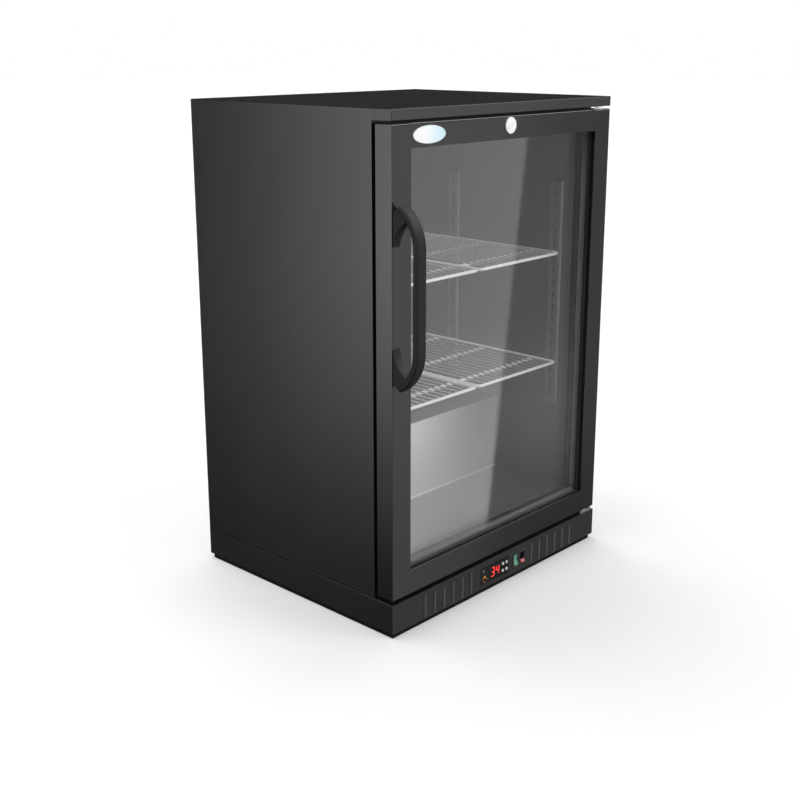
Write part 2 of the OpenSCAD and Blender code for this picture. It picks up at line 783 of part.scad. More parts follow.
// Groove in the frame that holds the edge of the glass
module glass_groove()
    block([open_x[0] - groove, open_x[1] + groove], [pane_y, pane_y + pack_t],
        [open_z[0] - groove, open_z[1] + groove]);

handle_x = [door_x[0], door_x[0] + handle_w];
handle_mid_x = (handle_x[0] + handle_x[1]) / 2;
screw_z = 132;
screw_d = 5;
screw_grip = 12;
screw_play = 0.4;
screw_head_d = 9;
screw_head_h = 3;

module stile_left() color(black_steel) difference() {
    block([door_x[0], open_x[0]], [front_y, door_rear_y], door_z);
    glass_groove();
    for (side = [-1, 1])
        bar_y(handle_mid_x, [front_y - 1, door_rear_y + 1], handle_z + side * screw_z,
            screw_d + screw_play);
}

module stile_right() color(black_steel) difference() {
    block([open_x[1], door_x[1]], [front_y, door_rear_y], door_z);
    glass_groove();
    for (z = [door_z[0] - 1, door_z[1] - pin_reach])
        translate([pivot_x, pivot_y, z]) cylinder(h = pin_reach + 1, d = bush_d);
}

lock_r = 14;
case_r = 10.5;
case_play = 0.1;
barrel_r = 8;
cam_half_w = 6;
key_w = 2.2;
key_h = 10;

module rail_top() color(black_steel) difference() {
    block(open_x, [front_y, door_rear_y], [open_z[1], door_z[1]]);
    glass_groove();
    cam_slot([lock_z - cam_half_w - cam_room, door_z[1] + 1]);
    bar_y(lock_x, [front_y - 1, cam_y], lock_z, 2 * case_r);
}

module rail_bottom() color(black_steel) difference() {
    block(open_x, [front_y, door_rear_y], [door_z[0], open_z[0]]);
    glass_groove();
}

pane_x = [open_x[0] - groove + 1, open_x[1] + groove - 1];
pane_z = [open_z[0] - groove + 1, open_z[1] + groove - 1];

module glass_panes() color([0.7, 0.78, 0.8, 0.35])
    for (y = [pane_y, pane_y + pane_t + pane_gap])
        block(pane_x, [y, y + pane_t], pane_z);

// Spacer bar round the edge of the glass, just in sight inside the frame
module pane_spacer() color([0.2, 0.2, 0.21]) {
    y = [pane_y + pane_t, pane_y + pane_t + pane_gap];
    w = groove + 1;
    block([pane_x[0], pane_x[0] + w], y, pane_z);
    block([pane_x[1] - w, pane_x[1]], y, pane_z);
    block([pane_x[0] + w, pane_x[1] - w], y, [pane_z[0], pane_z[0] + w]);
    block([pane_x[0] + w, pane_x[1] - w], y, [pane_z[1] - w, pane_z[1]]);
}

seal_w = 16;
seal_edge_x = half_w - 16;
seal_edge_z = [door_z[0] + 17, door_z[1] - 11];
seal_play = 0.3;

// Magnetic seal on the back of the door, a hair clear of the cabinet when shut
module door_seal() color(rubber_black) difference() {
    block([-seal_edge_x, seal_edge_x], [door_rear_y, face_y - seal_play], seal_edge_z);
    block([-seal_edge_x + seal_w, seal_edge_x - seal_w], [door_rear_y - 1, face_y + 1],
        [seal_edge_z[0] + seal_w, seal_edge_z[1] - seal_w]);
}

bush_lip = 2;
bush_play = 0.05;
low_collar = 1.4;
high_collar = door_gap_top - 0.6;

// One bush at z, growing up or down from the edge of the door, with a collar that spans the gap
module bush(z, turn, collar) translate([pivot_x, pivot_y, z]) rotate([turn, 0, 0]) difference() {
    union() {
        cylinder(h = pin_reach - 0.4, d = bush_d);
        translate([0, 0, -collar]) cylinder(h = collar, d = bush_d + 2 * bush_lip);
    }
    translate([0, 0, -collar - 1]) cylinder(h = pin_reach + collar + 2, r = pin_r + bush_play);
}

module hinge_bushes() color([0.88, 0.88, 0.85]) {
    bush(door_z[0], 0, low_collar);
    bush(door_z[1], 180, high_collar);
}

// ---- Handle: drawn in the side view, where the first axis points out of the door ----

bend_u = -front_y + handle_out - handle_r;
bend_v = handle_straight / 2;
bend_angle = 60;
opening_r = 59;
opening_v = 75;
opening_past = 0.5;
foot_w = handle_w - 4;
bar_corner = 3;
foot_v = 152;
foot_corner_v = 139.5;
foot_corner_u = 18;

// A shape with two round ends of radius r, whose centres are v above and below the middle
module round_ended(u, v, r) translate([u, 0]) {
    translate([-r, -v]) square([2 * r, 2 * v]);
    translate([0, v]) circle(r = r, $fn = 96);
    translate([0, -v]) circle(r = r, $fn = 96);
}

// Section of the bow: a bar with rounded corners at its distance from the bend's centre
module bar_section() translate([handle_r - handle_t, 0]) {
    translate([bar_corner, 0]) square([handle_t - 2 * bar_corner, handle_w]);
    translate([0, bar_corner]) square([handle_t, handle_w - 2 * bar_corner]);
    for (u = [bar_corner, handle_t - bar_corner], w = [bar_corner, handle_w - bar_corner])
        translate([u, w]) circle(r = bar_corner, $fn = 32);
}

// Feet, left over at both ends of the lens-shaped finger opening
module handle_feet() difference() {
    intersection() {
        round_ended(bend_u, bend_v, handle_r - 3);
        translate([-front_y, 0]) polygon([
            [0, -foot_corner_v], [foot_corner_u, -foot_v], [handle_out + 4, -foot_v],
            [handle_out + 4, foot_v], [foot_corner_u, foot_v], [0, foot_corner_v]]);
    }
    intersection() {
        round_ended(bend_u, bend_v, handle_r - handle_t / 2);
        round_ended(-front_y - opening_past + opening_r, opening_v, opening_r);
    }
}

// Bow handle with a blind hole in each foot for its screw
module door_handle() color(black_plastic) difference() {
    translate([handle_x[1], 0, handle_z]) rotate([90, 0, -90]) {
        for (end = [0, 1]) mirror([0, end, 0]) translate([bend_u, bend_v, 0])
            rotate_extrude(angle = bend_angle) bar_section();
        translate([bend_u, bend_v, 0]) rotate([90, 0, 0]) linear_extrude(2 * bend_v) bar_section();
        translate([0, 0, (handle_w - foot_w) / 2]) linear_extrude(foot_w) handle_feet();
    }
    for (side = [-1, 1])
        bar_y(handle_mid_x, [front_y - screw_grip - 0.5, front_y + 1], handle_z + side * screw_z,
            screw_d + screw_play / 2);
}

// Screws through the left upright into the feet of the handle, from behind
module handle_screws() color(zinc_grey) for (side = [-1, 1]) {
    z = handle_z + side * screw_z;
    bar_y(handle_mid_x, [front_y - screw_grip, door_rear_y + 0.5], z, screw_d);
    bar_y(handle_mid_x, [door_rear_y, door_rear_y + screw_head_h], z, screw_head_d);
}

// ---- Badge: a plain oval plate at the left end of the top rail ----

badge_x = -213;
badge_w = 78;
badge_h = 29;
badge_t = 2;

module badge() color([0.85, 0.93, 0.97])
    translate([badge_x, front_y, (open_z[1] + door_z[1]) / 2]) rotate([90, 0, 0]) linear_extrude(badge_t)
        polygon([for (a = [0 : 6 : 354]) [badge_w / 2 * cos(a), badge_h / 2 * sin(a)]]);

// ---- Lock ----

// Round bezel and body of the lock
module lock_case() color([0.85, 0.85, 0.86]) difference() {
    union() {
        bar_y(lock_x, [front_y - 2.5, front_y], lock_z, 2 * lock_r);
        bar_y(lock_x, [front_y, cam_y - cam_room - 0.5], lock_z, 2 * (case_r - case_play));
    }
    bar_y(lock_x, [front_y - 4, cam_y], lock_z, 2 * barrel_r + 0.1);
}

// Turning plug with its keyway, and the cam behind it
module lock_barrel() color([0.8, 0.8, 0.82]) translate([lock_x, 0, lock_z]) difference() {
    union() {
        bar_y(0, [front_y - 3.5, cam_y + cam_t], 0, 2 * barrel_r);
        block([0, cam_r], [cam_y, cam_y + cam_t], [-cam_half_w, cam_half_w]);
    }
    block([-key_w / 2, key_w / 2], [front_y - 5, front_y + 4], [-key_h / 2, key_h / 2]);
}

worktop();
side_panel_left();
side_panel_right();
back_panel();
face_rails();
side_insulation();
top_insulation();
back_insulation();
floor_insulation();
step_insulation();
side_liners();
liner_back();
liner_ceiling();
liner_floor();
step_liner();
shelf_standards();
shelf_clips();
upper_shelf();
lower_shelf();
evaporator_cover();
evaporator_coil();
evaporator_fan_motor();
evaporator_fan();
interior_lamp();
base_tray();
base_sides();
kick_plate();
rubber_pads();
controller_housing();
controller_window();
set_button();
defrost_button();
up_button();
down_button();
switch_bezels();
power_rocker();
light_rocker();
compressor();
compressor_mounts();
condenser_coil();
condenser_fan_motor();
condenser_fan();
filter_drier();
condensate_tray();
rear_cover();
cord_inlet();
hinge_brackets();
stile_left();
stile_right();
rail_top();
rail_bottom();
glass_panes();
pane_spacer();
door_seal();
hinge_bushes();
door_handle();
handle_screws();
badge();
lock_case();
lock_barrel();
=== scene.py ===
"""Looks of an under counter fridge, built round its packed construction.

The sheet metal, door and machinery keep their construction solids. Rounded edges, wire shelves,
the door gasket, the glazing bead, digits and screws are made here, and every surface gets its
finish. All sizes are metres, +Z up, the door faces -Y and hangs on its +X side.
"""
import json
import logging
import math
from dataclasses import dataclass, field
from enum import Enum
from typing import Any, Optional, Sequence, Union

import bmesh
import bpy
from mathutils import Matrix, Vector


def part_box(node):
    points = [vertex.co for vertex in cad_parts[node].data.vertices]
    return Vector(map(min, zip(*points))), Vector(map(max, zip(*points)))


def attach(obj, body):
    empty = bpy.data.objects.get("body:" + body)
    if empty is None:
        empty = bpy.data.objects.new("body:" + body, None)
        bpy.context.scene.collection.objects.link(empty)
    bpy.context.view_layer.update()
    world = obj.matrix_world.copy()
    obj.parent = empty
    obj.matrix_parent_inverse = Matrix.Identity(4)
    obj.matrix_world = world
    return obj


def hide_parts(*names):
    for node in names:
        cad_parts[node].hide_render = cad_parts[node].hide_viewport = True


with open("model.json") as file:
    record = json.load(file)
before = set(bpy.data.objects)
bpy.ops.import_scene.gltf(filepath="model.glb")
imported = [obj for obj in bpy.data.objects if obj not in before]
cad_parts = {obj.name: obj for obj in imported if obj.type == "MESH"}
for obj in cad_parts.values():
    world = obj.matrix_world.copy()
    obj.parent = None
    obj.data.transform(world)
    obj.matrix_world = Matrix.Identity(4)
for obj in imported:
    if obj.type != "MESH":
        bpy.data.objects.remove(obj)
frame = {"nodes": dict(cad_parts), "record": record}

log = logging.getLogger("fridge")

MM = 0.001
IMAGE_SIZE = 800
NARROW = "narrow_side"
FINE = "fine_wire"
ON_EDGE = 0.05 * MM
SAME_POINT = 0.002 * MM
SAME_PLANE = math.radians(0.5)
ROUND_LIMIT = math.radians(40)


class Body(str, Enum):
    """The bodies that pieces made from nothing ride on."""

    CABINET = "cabinet"
    DOOR = "door"


class Face(Enum):
    """A face of a box, as the axis it is square to and the side it lies on."""

    LEFT = (0, 0)
    RIGHT = (0, 1)
    FRONT = (1, 0)
    REAR = (1, 1)
    BOTTOM = (2, 0)
    TOP = (2, 1)


# ---------------------------------------------------------------- node trees


Value = Union[float, int, bool, Sequence[float], str, "Wire", bpy.types.ID]


class Wire:
    """An output socket that can stand in an expression on numbers."""

    def __init__(self, sheet: "NodeSheet", socket: bpy.types.NodeSocket) -> None:
        """Wraps a socket.

        Args:
            sheet: the tree that holds the socket's node.
            socket: the output socket.
        """
        self.sheet = sheet
        self.socket = socket

    def _join(self, operation: str, first: Value, second: Value) -> "Wire":
        """Adds a Math node.

        Args:
            operation: the Math node's operation.
            first: its first value.
            second: its second value.

        Returns:
            The result.
        """
        return self.sheet.node("ShaderNodeMath", {"operation": operation}, {0: first, 1: second})

    def __add__(self, other: Value) -> "Wire":
        """Sum."""
        return self._join("ADD", self, other)

    def __radd__(self, other: Value) -> "Wire":
        """Sum, with the number first."""
        return self._join("ADD", other, self)

    def __sub__(self, other: Value) -> "Wire":
        """Difference."""
        return self._join("SUBTRACT", self, other)

    def __rsub__(self, other: Value) -> "Wire":
        """Difference, with the number first."""
        return self._join("SUBTRACT", other, self)

    def __mul__(self, other: Value) -> "Wire":
        """Product."""
        return self._join("MULTIPLY", self, other)

    def __rmul__(self, other: Value) -> "Wire":
        """Product, with the number first."""
        return self._join("MULTIPLY", other, self)

    def __truediv__(self, other: Value) -> "Wire":
        """Quotient."""
        return self._join("DIVIDE", self, other)

    def __pow__(self, other: Value) -> "Wire":
        """Power."""
        return self._join("POWER", self, other)

    def __gt__(self, other: Value) -> "Wire":
        """One where this is the greater."""
        return self._join("GREATER_THAN", self, other)

    def __lt__(self, other: Value) -> "Wire":
        """One where this is the smaller."""
        return self._join("LESS_THAN", self, other)

    def at_least(self, other: Value) -> "Wire":
        """The greater of the two."""
        return self._join("MAXIMUM", self, other)


class NodeSheet:
    """A shader or geometry tree that is being filled."""

    def __init__(self, tree: bpy.types.NodeTree) -> None:
        """Starts on a tree.

        Args:
            tree: the tree to fill.
        """
        self.tree = tree

    def place(self, kind: str, settings: dict[str, Any],
              inputs: dict[Any, Value]) -> bpy.types.Node:
        """Adds a node.

        Args:
            kind: the node's type.
            settings: its properties, set first; "stops" are the stops of a colour ramp.
            inputs: the value or wire of each input, by name or number.

        Returns:
            The node.
        """
        node = self.tree.nodes.new(kind)
        for name, setting in settings.items():
            if name == "stops":
                ramp = node.color_ramp.elements
                while len(ramp) < len(setting):
                    ramp.new(0.5)
                for stop, (spot, colour) in zip(ramp, setting):
                    stop.position = spot
                    stop.color = (*colour, 1.0)
            else:
                setattr(node, name, setting)
        for key, value in inputs.items():
            self.feed(node.inputs[key], value)
        return node

    def feed(self, socket: bpy.types.NodeSocket, value: Value) -> None:
        """Links a wire to an input, or sets a constant on it.

        Args:
            socket: the input.
            value: what it gets; a list of wires goes to one multi-input.
        """
        if isinstance(value, Wire):
            self.tree.links.new(value.socket, socket)
        elif isinstance(value, list):
            for wire in reversed(value):
                self.tree.links.new(wire.socket, socket)
        else:
            socket.default_value = value

    def node(self, kind: str, settings: Optional[dict[str, Any]] = None,
             inputs: Optional[dict[Any, Value]] = None, output: Any = 0) -> Wire:
        """Adds a node and gives one of its outputs.

        Args:
            kind: the node's type.
            settings: its properties.
            inputs: its input values and wires.
            output: the output's name or number.

        Returns:
            The output.
        """
        return Wire(self, self.place(kind, settings or {}, inputs or {}).outputs[output])

    def vector(self, x: Value, y: Value, z: Value) -> Wire:
        """A vector of three numbers or wires."""
        return self.node("ShaderNodeCombineXYZ", {}, {0: x, 1: y, 2: z})

    def axes(self, vector: Wire) -> list[Wire]:
        """The x, y and z of a vector."""
        return [Wire(self, part) for part in
                self.place("ShaderNodeSeparateXYZ", {}, {0: vector}).outputs]

    def ease(self, value: Wire, low: float, high: float, start: float = 0.0,
             end: float = 1.0) -> Wire:
        """Maps a value smoothly from one span to another and holds it there.

        Args:
            value: the value.
            low: where the ease starts.
            high: where it ends.
            start: the result at low.
            end: the result at high.

        Returns:
            The eased value.
        """
        return self.node("ShaderNodeMapRange", {"interpolation_type": "SMOOTHSTEP"},
                         {"Value": value, "From Min": low, "From Max": high,
                          "To Min": start, "To Max": end})


class SurfaceSheet(NodeSheet):
    """The node tree of one material."""

    def __init__(self, name: str) -> None:
        """Makes the material.

        Args:
            name: the material's name.
        """
        self.material = bpy.data.materials.new(name)
        self.material.use_nodes = True
        super().__init__(self.material.node_tree)
        self.tree.nodes.clear()
        self.out = self.tree.nodes.new("ShaderNodeOutputMaterial")

    def position(self, stretch: Sequence[float] = (1.0, 1.0, 1.0)) -> Wire:
        """The point on the surface in metres.

        Args:
            stretch: how much denser a pattern is along each axis.

        Returns:
            The stretched point.
        """
        spot = self.node("ShaderNodeTexCoord", output="Object")
        return self.node("ShaderNodeMapping", {}, {"Vector": spot, "Scale": stretch})

    def noise(self, spot: Wire, scale: float, detail: float = 2.0, rough: float = 0.5) -> Wire:
        """Soft noise between 0 and 1, in patches of about 1 / scale metres."""
        return self.node("ShaderNodeTexNoise", {},
                         {"Vector": spot, "Scale": scale, "Detail": detail, "Roughness": rough})

    def bump(self, height: Wire, depth: float, normal: Optional[Wire] = None) -> Wire:
        """A normal from a height between 0 and 1.

        Args:
            height: the height.
            depth: how deep it is, in metres.
            normal: a normal to build on.

        Returns:
            The normal.
        """
        inputs: dict[Any, Value] = {"Height": height, "Strength": 1.0, "Distance": depth}
        if normal is not None:
            inputs["Normal"] = normal
        return self.node("ShaderNodeBump", {}, inputs)

    def tint(self, colour: Value, tone: Wire) -> Wire:
        """A colour made lighter or darker by a wire that is 1 where it stays."""
        return self.node("ShaderNodeVectorMath", {"operation": "SCALE"}, {0: colour, "Scale": tone})

    def blend(self, share: Wire, first: Sequence[float], second: Sequence[float]) -> Wire:
        """A colour between two colours."""
        return self.node("ShaderNodeMix", {"data_type": "RGBA"},
                         {0: share, 6: (*first, 1.0), 7: (*second, 1.0)}, output=2)

    def close(self, shader: Wire) -> bpy.types.Material:
        """Ends the tree on a shader.

        Args:
            shader: what the surface shows.

        Returns:
            The finished material.
        """
        self.feed(self.out.inputs["Surface"], shader)
        return self.material

    def principled(self, inputs: dict[str, Value]) -> bpy.types.Material:
        """Ends the tree on a Principled shader with these inputs."""
        return self.close(self.node("ShaderNodeBsdfPrincipled", {}, inputs))


def sway(noise: Wire, reach: float) -> Wire:
    """Noise between 0 and 1, brought round 0 and scaled to a reach."""
    return (noise - 0.5) * reach


# ---------------------------------------------------------------- finishes


@dataclass(frozen=True)
class CoatFinish:
    """Sprayed powder coat or moulded plastic: an even colour under a fine grain."""

    name: str
    colour: tuple[float, float, float]
    roughness: float
    grain: float = 0.6 * MM
    grain_depth: float = 0.02 * MM
    clouding: float = 0.12
    specular: float = 0.5
    coat: float = 0.0
    # Painted light and shade: in front of a given depth the tone gains a share, a painted highlight
    # where the share is above zero and painted shade where it is below; above a given height it is
    # multiplied, painted shade on a top face.
    painted_front_y: Optional[float] = None
    painted_front_gain: float = 0.8
    top_z: Optional[float] = None
    top_tone: float = 1.0
    cloud_scale: float = 7.0
    cloud_rough: float = 0.06
    grain_rough: float = 0.1
    coat_rough: float = 0.12

    def material(self) -> bpy.types.Material:
        """Builds the material."""
        sheet = SurfaceSheet(self.name)
        spot = sheet.position()
        cloud = sheet.noise(spot, self.cloud_scale, 3.0)
        grain = sheet.noise(spot, 1.0 / self.grain, 2.0)
        tone = 1.0 + sway(cloud, self.clouding)
        # Painted highlight or painted shade in front of a depth, by the sign of the gain; painted
        # shade above a height.
        if self.painted_front_y is not None:
            tone = tone * (1.0 + (sheet.axes(spot)[1] < self.painted_front_y) * self.painted_front_gain)
        if self.top_z is not None:
            tone = tone * (1.0 + (sheet.axes(spot)[2] > self.top_z) * (self.top_tone - 1.0))
        rough = self.roughness + sway(cloud, self.cloud_rough) + sway(grain, self.grain_rough)
        return sheet.principled({
            "Base Color": sheet.tint(self.colour, tone), "Roughness": rough,
            "Specular IOR Level": self.specular, "Coat Weight": self.coat,
            "Coat Roughness": self.coat_rough, "Normal": sheet.bump(grain, self.grain_depth)})


@dataclass(frozen=True)
class StuccoFinish:
    """Embossed aluminium sheet: rolled dimples with a fine brushed grain over them.

    Up to floor_z lies the floor, above top_z the top of the step, and between them its riser.
    The floor and the top of the step carry painted shade, darker than the riser, and the riser
    carries a painted highlight that is brightest at left_x, gone by middle_x and weaker at its
    foot.
    """

    name: str
    colour: tuple[float, float, float]
    roughness: float
    dimple: float = 4.0 * MM
    dimple_depth: float = 0.12 * MM
    grain_depth: float = 0.004 * MM
    metallic: float = 0.3
    floor_z: float = 0.1155
    top_z: float = 0.2705
    # Painted shade on the floor and on the top of the step, and a painted highlight on the left of
    # the riser.
    floor_painted_shade: float = 0.78
    top_tone: float = 0.3
    left_painted_light: float = 0.9
    left_x: float = 0.0
    middle_x: float = 0.18
    foot_share: float = 0.3
    grain_scale: float = 1800.0
    grain_draw: float = 0.06
    cloud_scale: float = 5.0
    cloud_tone: float = 0.12
    grain_tone: float = 0.1
    cloud_rough: float = 0.08
    grain_rough: float = 0.12

    def material(self) -> bpy.types.Material:
        """Builds the material."""
        sheet = SurfaceSheet(self.name)
        spot = sheet.position()
        warped = sheet.noise(spot, 1.0 / self.dimple, 2.0, 0.6)
        grain = sheet.noise(sheet.position((1.0, 1.0, self.grain_draw)), self.grain_scale, 2.0)
        cloud = sheet.noise(spot, self.cloud_scale, 3.0)
        across, _, height = sheet.axes(spot)
        riser = (height > self.floor_z) * (height < self.top_z)
        # Painted highlight on the riser, strongest on the left and weaker at the foot; painted
        # shade on the floor and the step's top.
        painted_riser_light = (sheet.ease(across, self.left_x, self.middle_x, self.left_painted_light, 0.0)
                    * sheet.ease(height, self.floor_z, self.top_z, self.foot_share, 1.0))
        level = (self.floor_painted_shade + riser * (1.0 - self.floor_painted_shade + painted_riser_light)
                 + (height > self.top_z) * (self.top_tone - self.floor_painted_shade))
        tone = level * (1.0 + sway(cloud, self.cloud_tone) + sway(grain, self.grain_tone))
        rough = self.roughness + sway(cloud, self.cloud_rough) + sway(grain, self.grain_rough)
        dimples = sheet.bump(warped, self.dimple_depth)
        return sheet.principled({
            "Base Color": sheet.tint(self.colour, tone), "Roughness": rough,
            "Metallic": self.metallic, "Normal": sheet.bump(grain, self.grain_depth, dimples)})


@dataclass(frozen=True)
class MetalFinish:
    """Bright bare or plated metal with faint draw lines and cloudy plating.

    Faces that carry the FINE attribute take the colour of fine, a darker copy of the plating that
    paints shade.
    A glow above zero makes metal that is no lamp shine: painted light.
    """

    name: str
    colour: tuple[float, float, float]
    roughness: float
    clouding: float = 0.12
    grain_depth: float = 0.003 * MM
    patch: float = 9.0 * MM
    metallic: float = 1.0
    fine: Optional[tuple[float, float, float]] = None
    # Emission on metal that is no lamp: painted light.
    glow: float = 0.0
    grain_scale: float = 2500.0
    least_rough: float = 0.75
    cloud_rough: float = 0.5

    def material(self) -> bpy.types.Material:
        """Builds the material."""
        sheet = SurfaceSheet(self.name)
        spot = sheet.position()
        cloud = sheet.noise(spot, 1.0 / self.patch, 2.0)
        grain = sheet.noise(spot, self.grain_scale, 1.0)
        tone = 1.0 + sway(cloud, self.clouding)
        rough = self.roughness * (self.least_rough + cloud * self.cloud_rough)
        colour: Value = self.colour
        if self.fine is not None:
            share = sheet.node("ShaderNodeAttribute", {"attribute_name": FINE}, output="Fac")
            colour = sheet.blend(share, self.colour, self.fine)
        shade = sheet.tint(colour, tone)
        return sheet.principled({
            "Base Color": shade, "Roughness": rough, "Metallic": self.metallic,
            "Emission Color": shade, "Emission Strength": self.glow,
            "Normal": sheet.bump(grain, self.grain_depth)})


@dataclass(frozen=True)
class StripFinish:
    """Rolled steel strip, whose narrow sides are painted lighter than its broad face: a painted
    highlight.
    """

    name: str
    broad: tuple[float, float, float]
    narrow: tuple[float, float, float]
    roughness: float

    def material(self) -> bpy.types.Material:
        """Builds the material."""
        sheet = SurfaceSheet(self.name)
        # The narrow sides take the lighter colour: painted highlight.
        side = sheet.node("ShaderNodeAttribute", {"attribute_name": NARROW}, output="Fac")
        lines = sheet.noise(sheet.position((1.0, 1.0, 0.04)), 1500.0, 2.0)
        return sheet.principled({
            "Base Color": sheet.blend(side, self.broad, self.narrow),
            "Roughness": self.roughness + sway(lines, 0.2),
            "Normal": sheet.bump(lines, 0.004 * MM)})


@dataclass(frozen=True)
class ZincFinish:
    """Galvanised steel, with its spangle of large flat crystals."""

    name: str
    colour: tuple[float, float, float]
    roughness: float
    spangle: float = 5.0 * MM

    def material(self) -> bpy.types.Material:
        """Builds the material."""
        sheet = SurfaceSheet(self.name)
        spot = sheet.position()
        crystal = sheet.node("ShaderNodeTexVoronoi", {"feature": "F1"},
                             {"Vector": spot, "Scale": 1.0 / self.spangle}, output="Color")
        shade = sheet.node("ShaderNodeSeparateColor", {}, {0: crystal})
        grain = sheet.noise(spot, 2200.0, 1.0)
        return sheet.principled({
            "Base Color": sheet.tint(self.colour, 0.88 + shade * 0.2),
            "Roughness": self.roughness + sway(shade, 0.16), "Metallic": 1.0,
            "Normal": sheet.bump(grain, 0.003 * MM)})


@dataclass(frozen=True)
class FoamFinish:
    """Rigid foam, pale with darker pores."""

    name: str
    colour: tuple[float, float, float]

    def material(self) -> bpy.types.Material:
        """Builds the material."""
        sheet = SurfaceSheet(self.name)
        spot = sheet.position()
        pores = sheet.node("ShaderNodeTexVoronoi", {"feature": "F1"},
                           {"Vector": spot, "Scale": 700.0}, output="Distance")
        cloud = sheet.noise(spot, 14.0, 3.0)
        return sheet.principled({
            "Base Color": sheet.tint(self.colour, 0.75 + cloud * 0.3 + pores * 0.15),
            "Roughness": 0.95, "Normal": sheet.bump(pores, 0.3 * MM)})


@dataclass(frozen=True)
class GlassFinish:
    """Thin clear glass: what is behind it, under a mirror that is stronger low down."""

    name: str
    tint: tuple[float, float, float]
    head_on: float = 0.04
    low_gain: float = 1.5
    low_z: float = 0.15
    high_z: float = 0.55

    def material(self) -> bpy.types.Material:
        """Builds the material."""
        sheet = SurfaceSheet(self.name)
        grazing = sheet.node("ShaderNodeLayerWeight", {}, {"Blend": 0.5}, output="Facing")
        height = sheet.axes(sheet.position())[2]
        gain = sheet.ease(height, self.low_z, self.high_z, 1.0 + self.low_gain, 1.0)
        mirror = (self.head_on + (1.0 - self.head_on) * grazing ** 5.0) * gain
        clear = sheet.node("ShaderNodeBsdfTransparent", {}, {"Color": (*self.tint, 1.0)})
        gloss = sheet.node("ShaderNodeBsdfAnisotropic", {},
                           {"Color": (1.0, 1.0, 1.0, 1.0), "Roughness": 0.02})
        return sheet.close(sheet.node("ShaderNodeMixShader", {}, {0: mirror, 1: clear, 2: gloss}))


@dataclass(frozen=True)
class EnamelFinish:
    """Domed resin over a pale plate that shades from white to ice blue across its width."""

    name: str
    start: tuple[float, float, float]
    end: tuple[float, float, float]
    x_start: float
    x_end: float
    wander: float = 8 * MM
    # The badge glows though it is no lamp: painted light.
    glow: float = 0.14

    def material(self) -> bpy.types.Material:
        """Builds the material."""
        sheet = SurfaceSheet(self.name)
        spot = sheet.position()
        across = sheet.axes(spot)[0] + sway(sheet.noise(spot, 60.0), self.wander)
        share = sheet.ease(across, self.x_start, self.x_end)
        colour = sheet.blend(share, self.start, self.end)
        return sheet.principled({
            "Base Color": colour, "Roughness": 0.25, "Coat Weight": 1.0, "Coat Roughness": 0.04,
            "Emission Color": colour, "Emission Strength": self.glow})


@dataclass(frozen=True)
class GlowFinish:
    """Plastic that lets light through: its own colour with a little light of the same colour."""

    name: str
    colour: tuple[float, float, float]
    glow: float

    def material(self) -> bpy.types.Material:
        """Builds the material."""
        sheet = SurfaceSheet(self.name)
        spot = sheet.position()
        tone = 0.85 + sheet.noise(spot, 500.0) * 0.3
        colour = sheet.tint(self.colour, tone)
        return sheet.principled({
            "Base Color": colour, "Roughness": 0.35, "Emission Color": colour,
            "Emission Strength": self.glow})


Finish = Union[CoatFinish, StuccoFinish, MetalFinish, StripFinish, ZincFinish, FoamFinish,
               GlassFinish, EnamelFinish, GlowFinish]

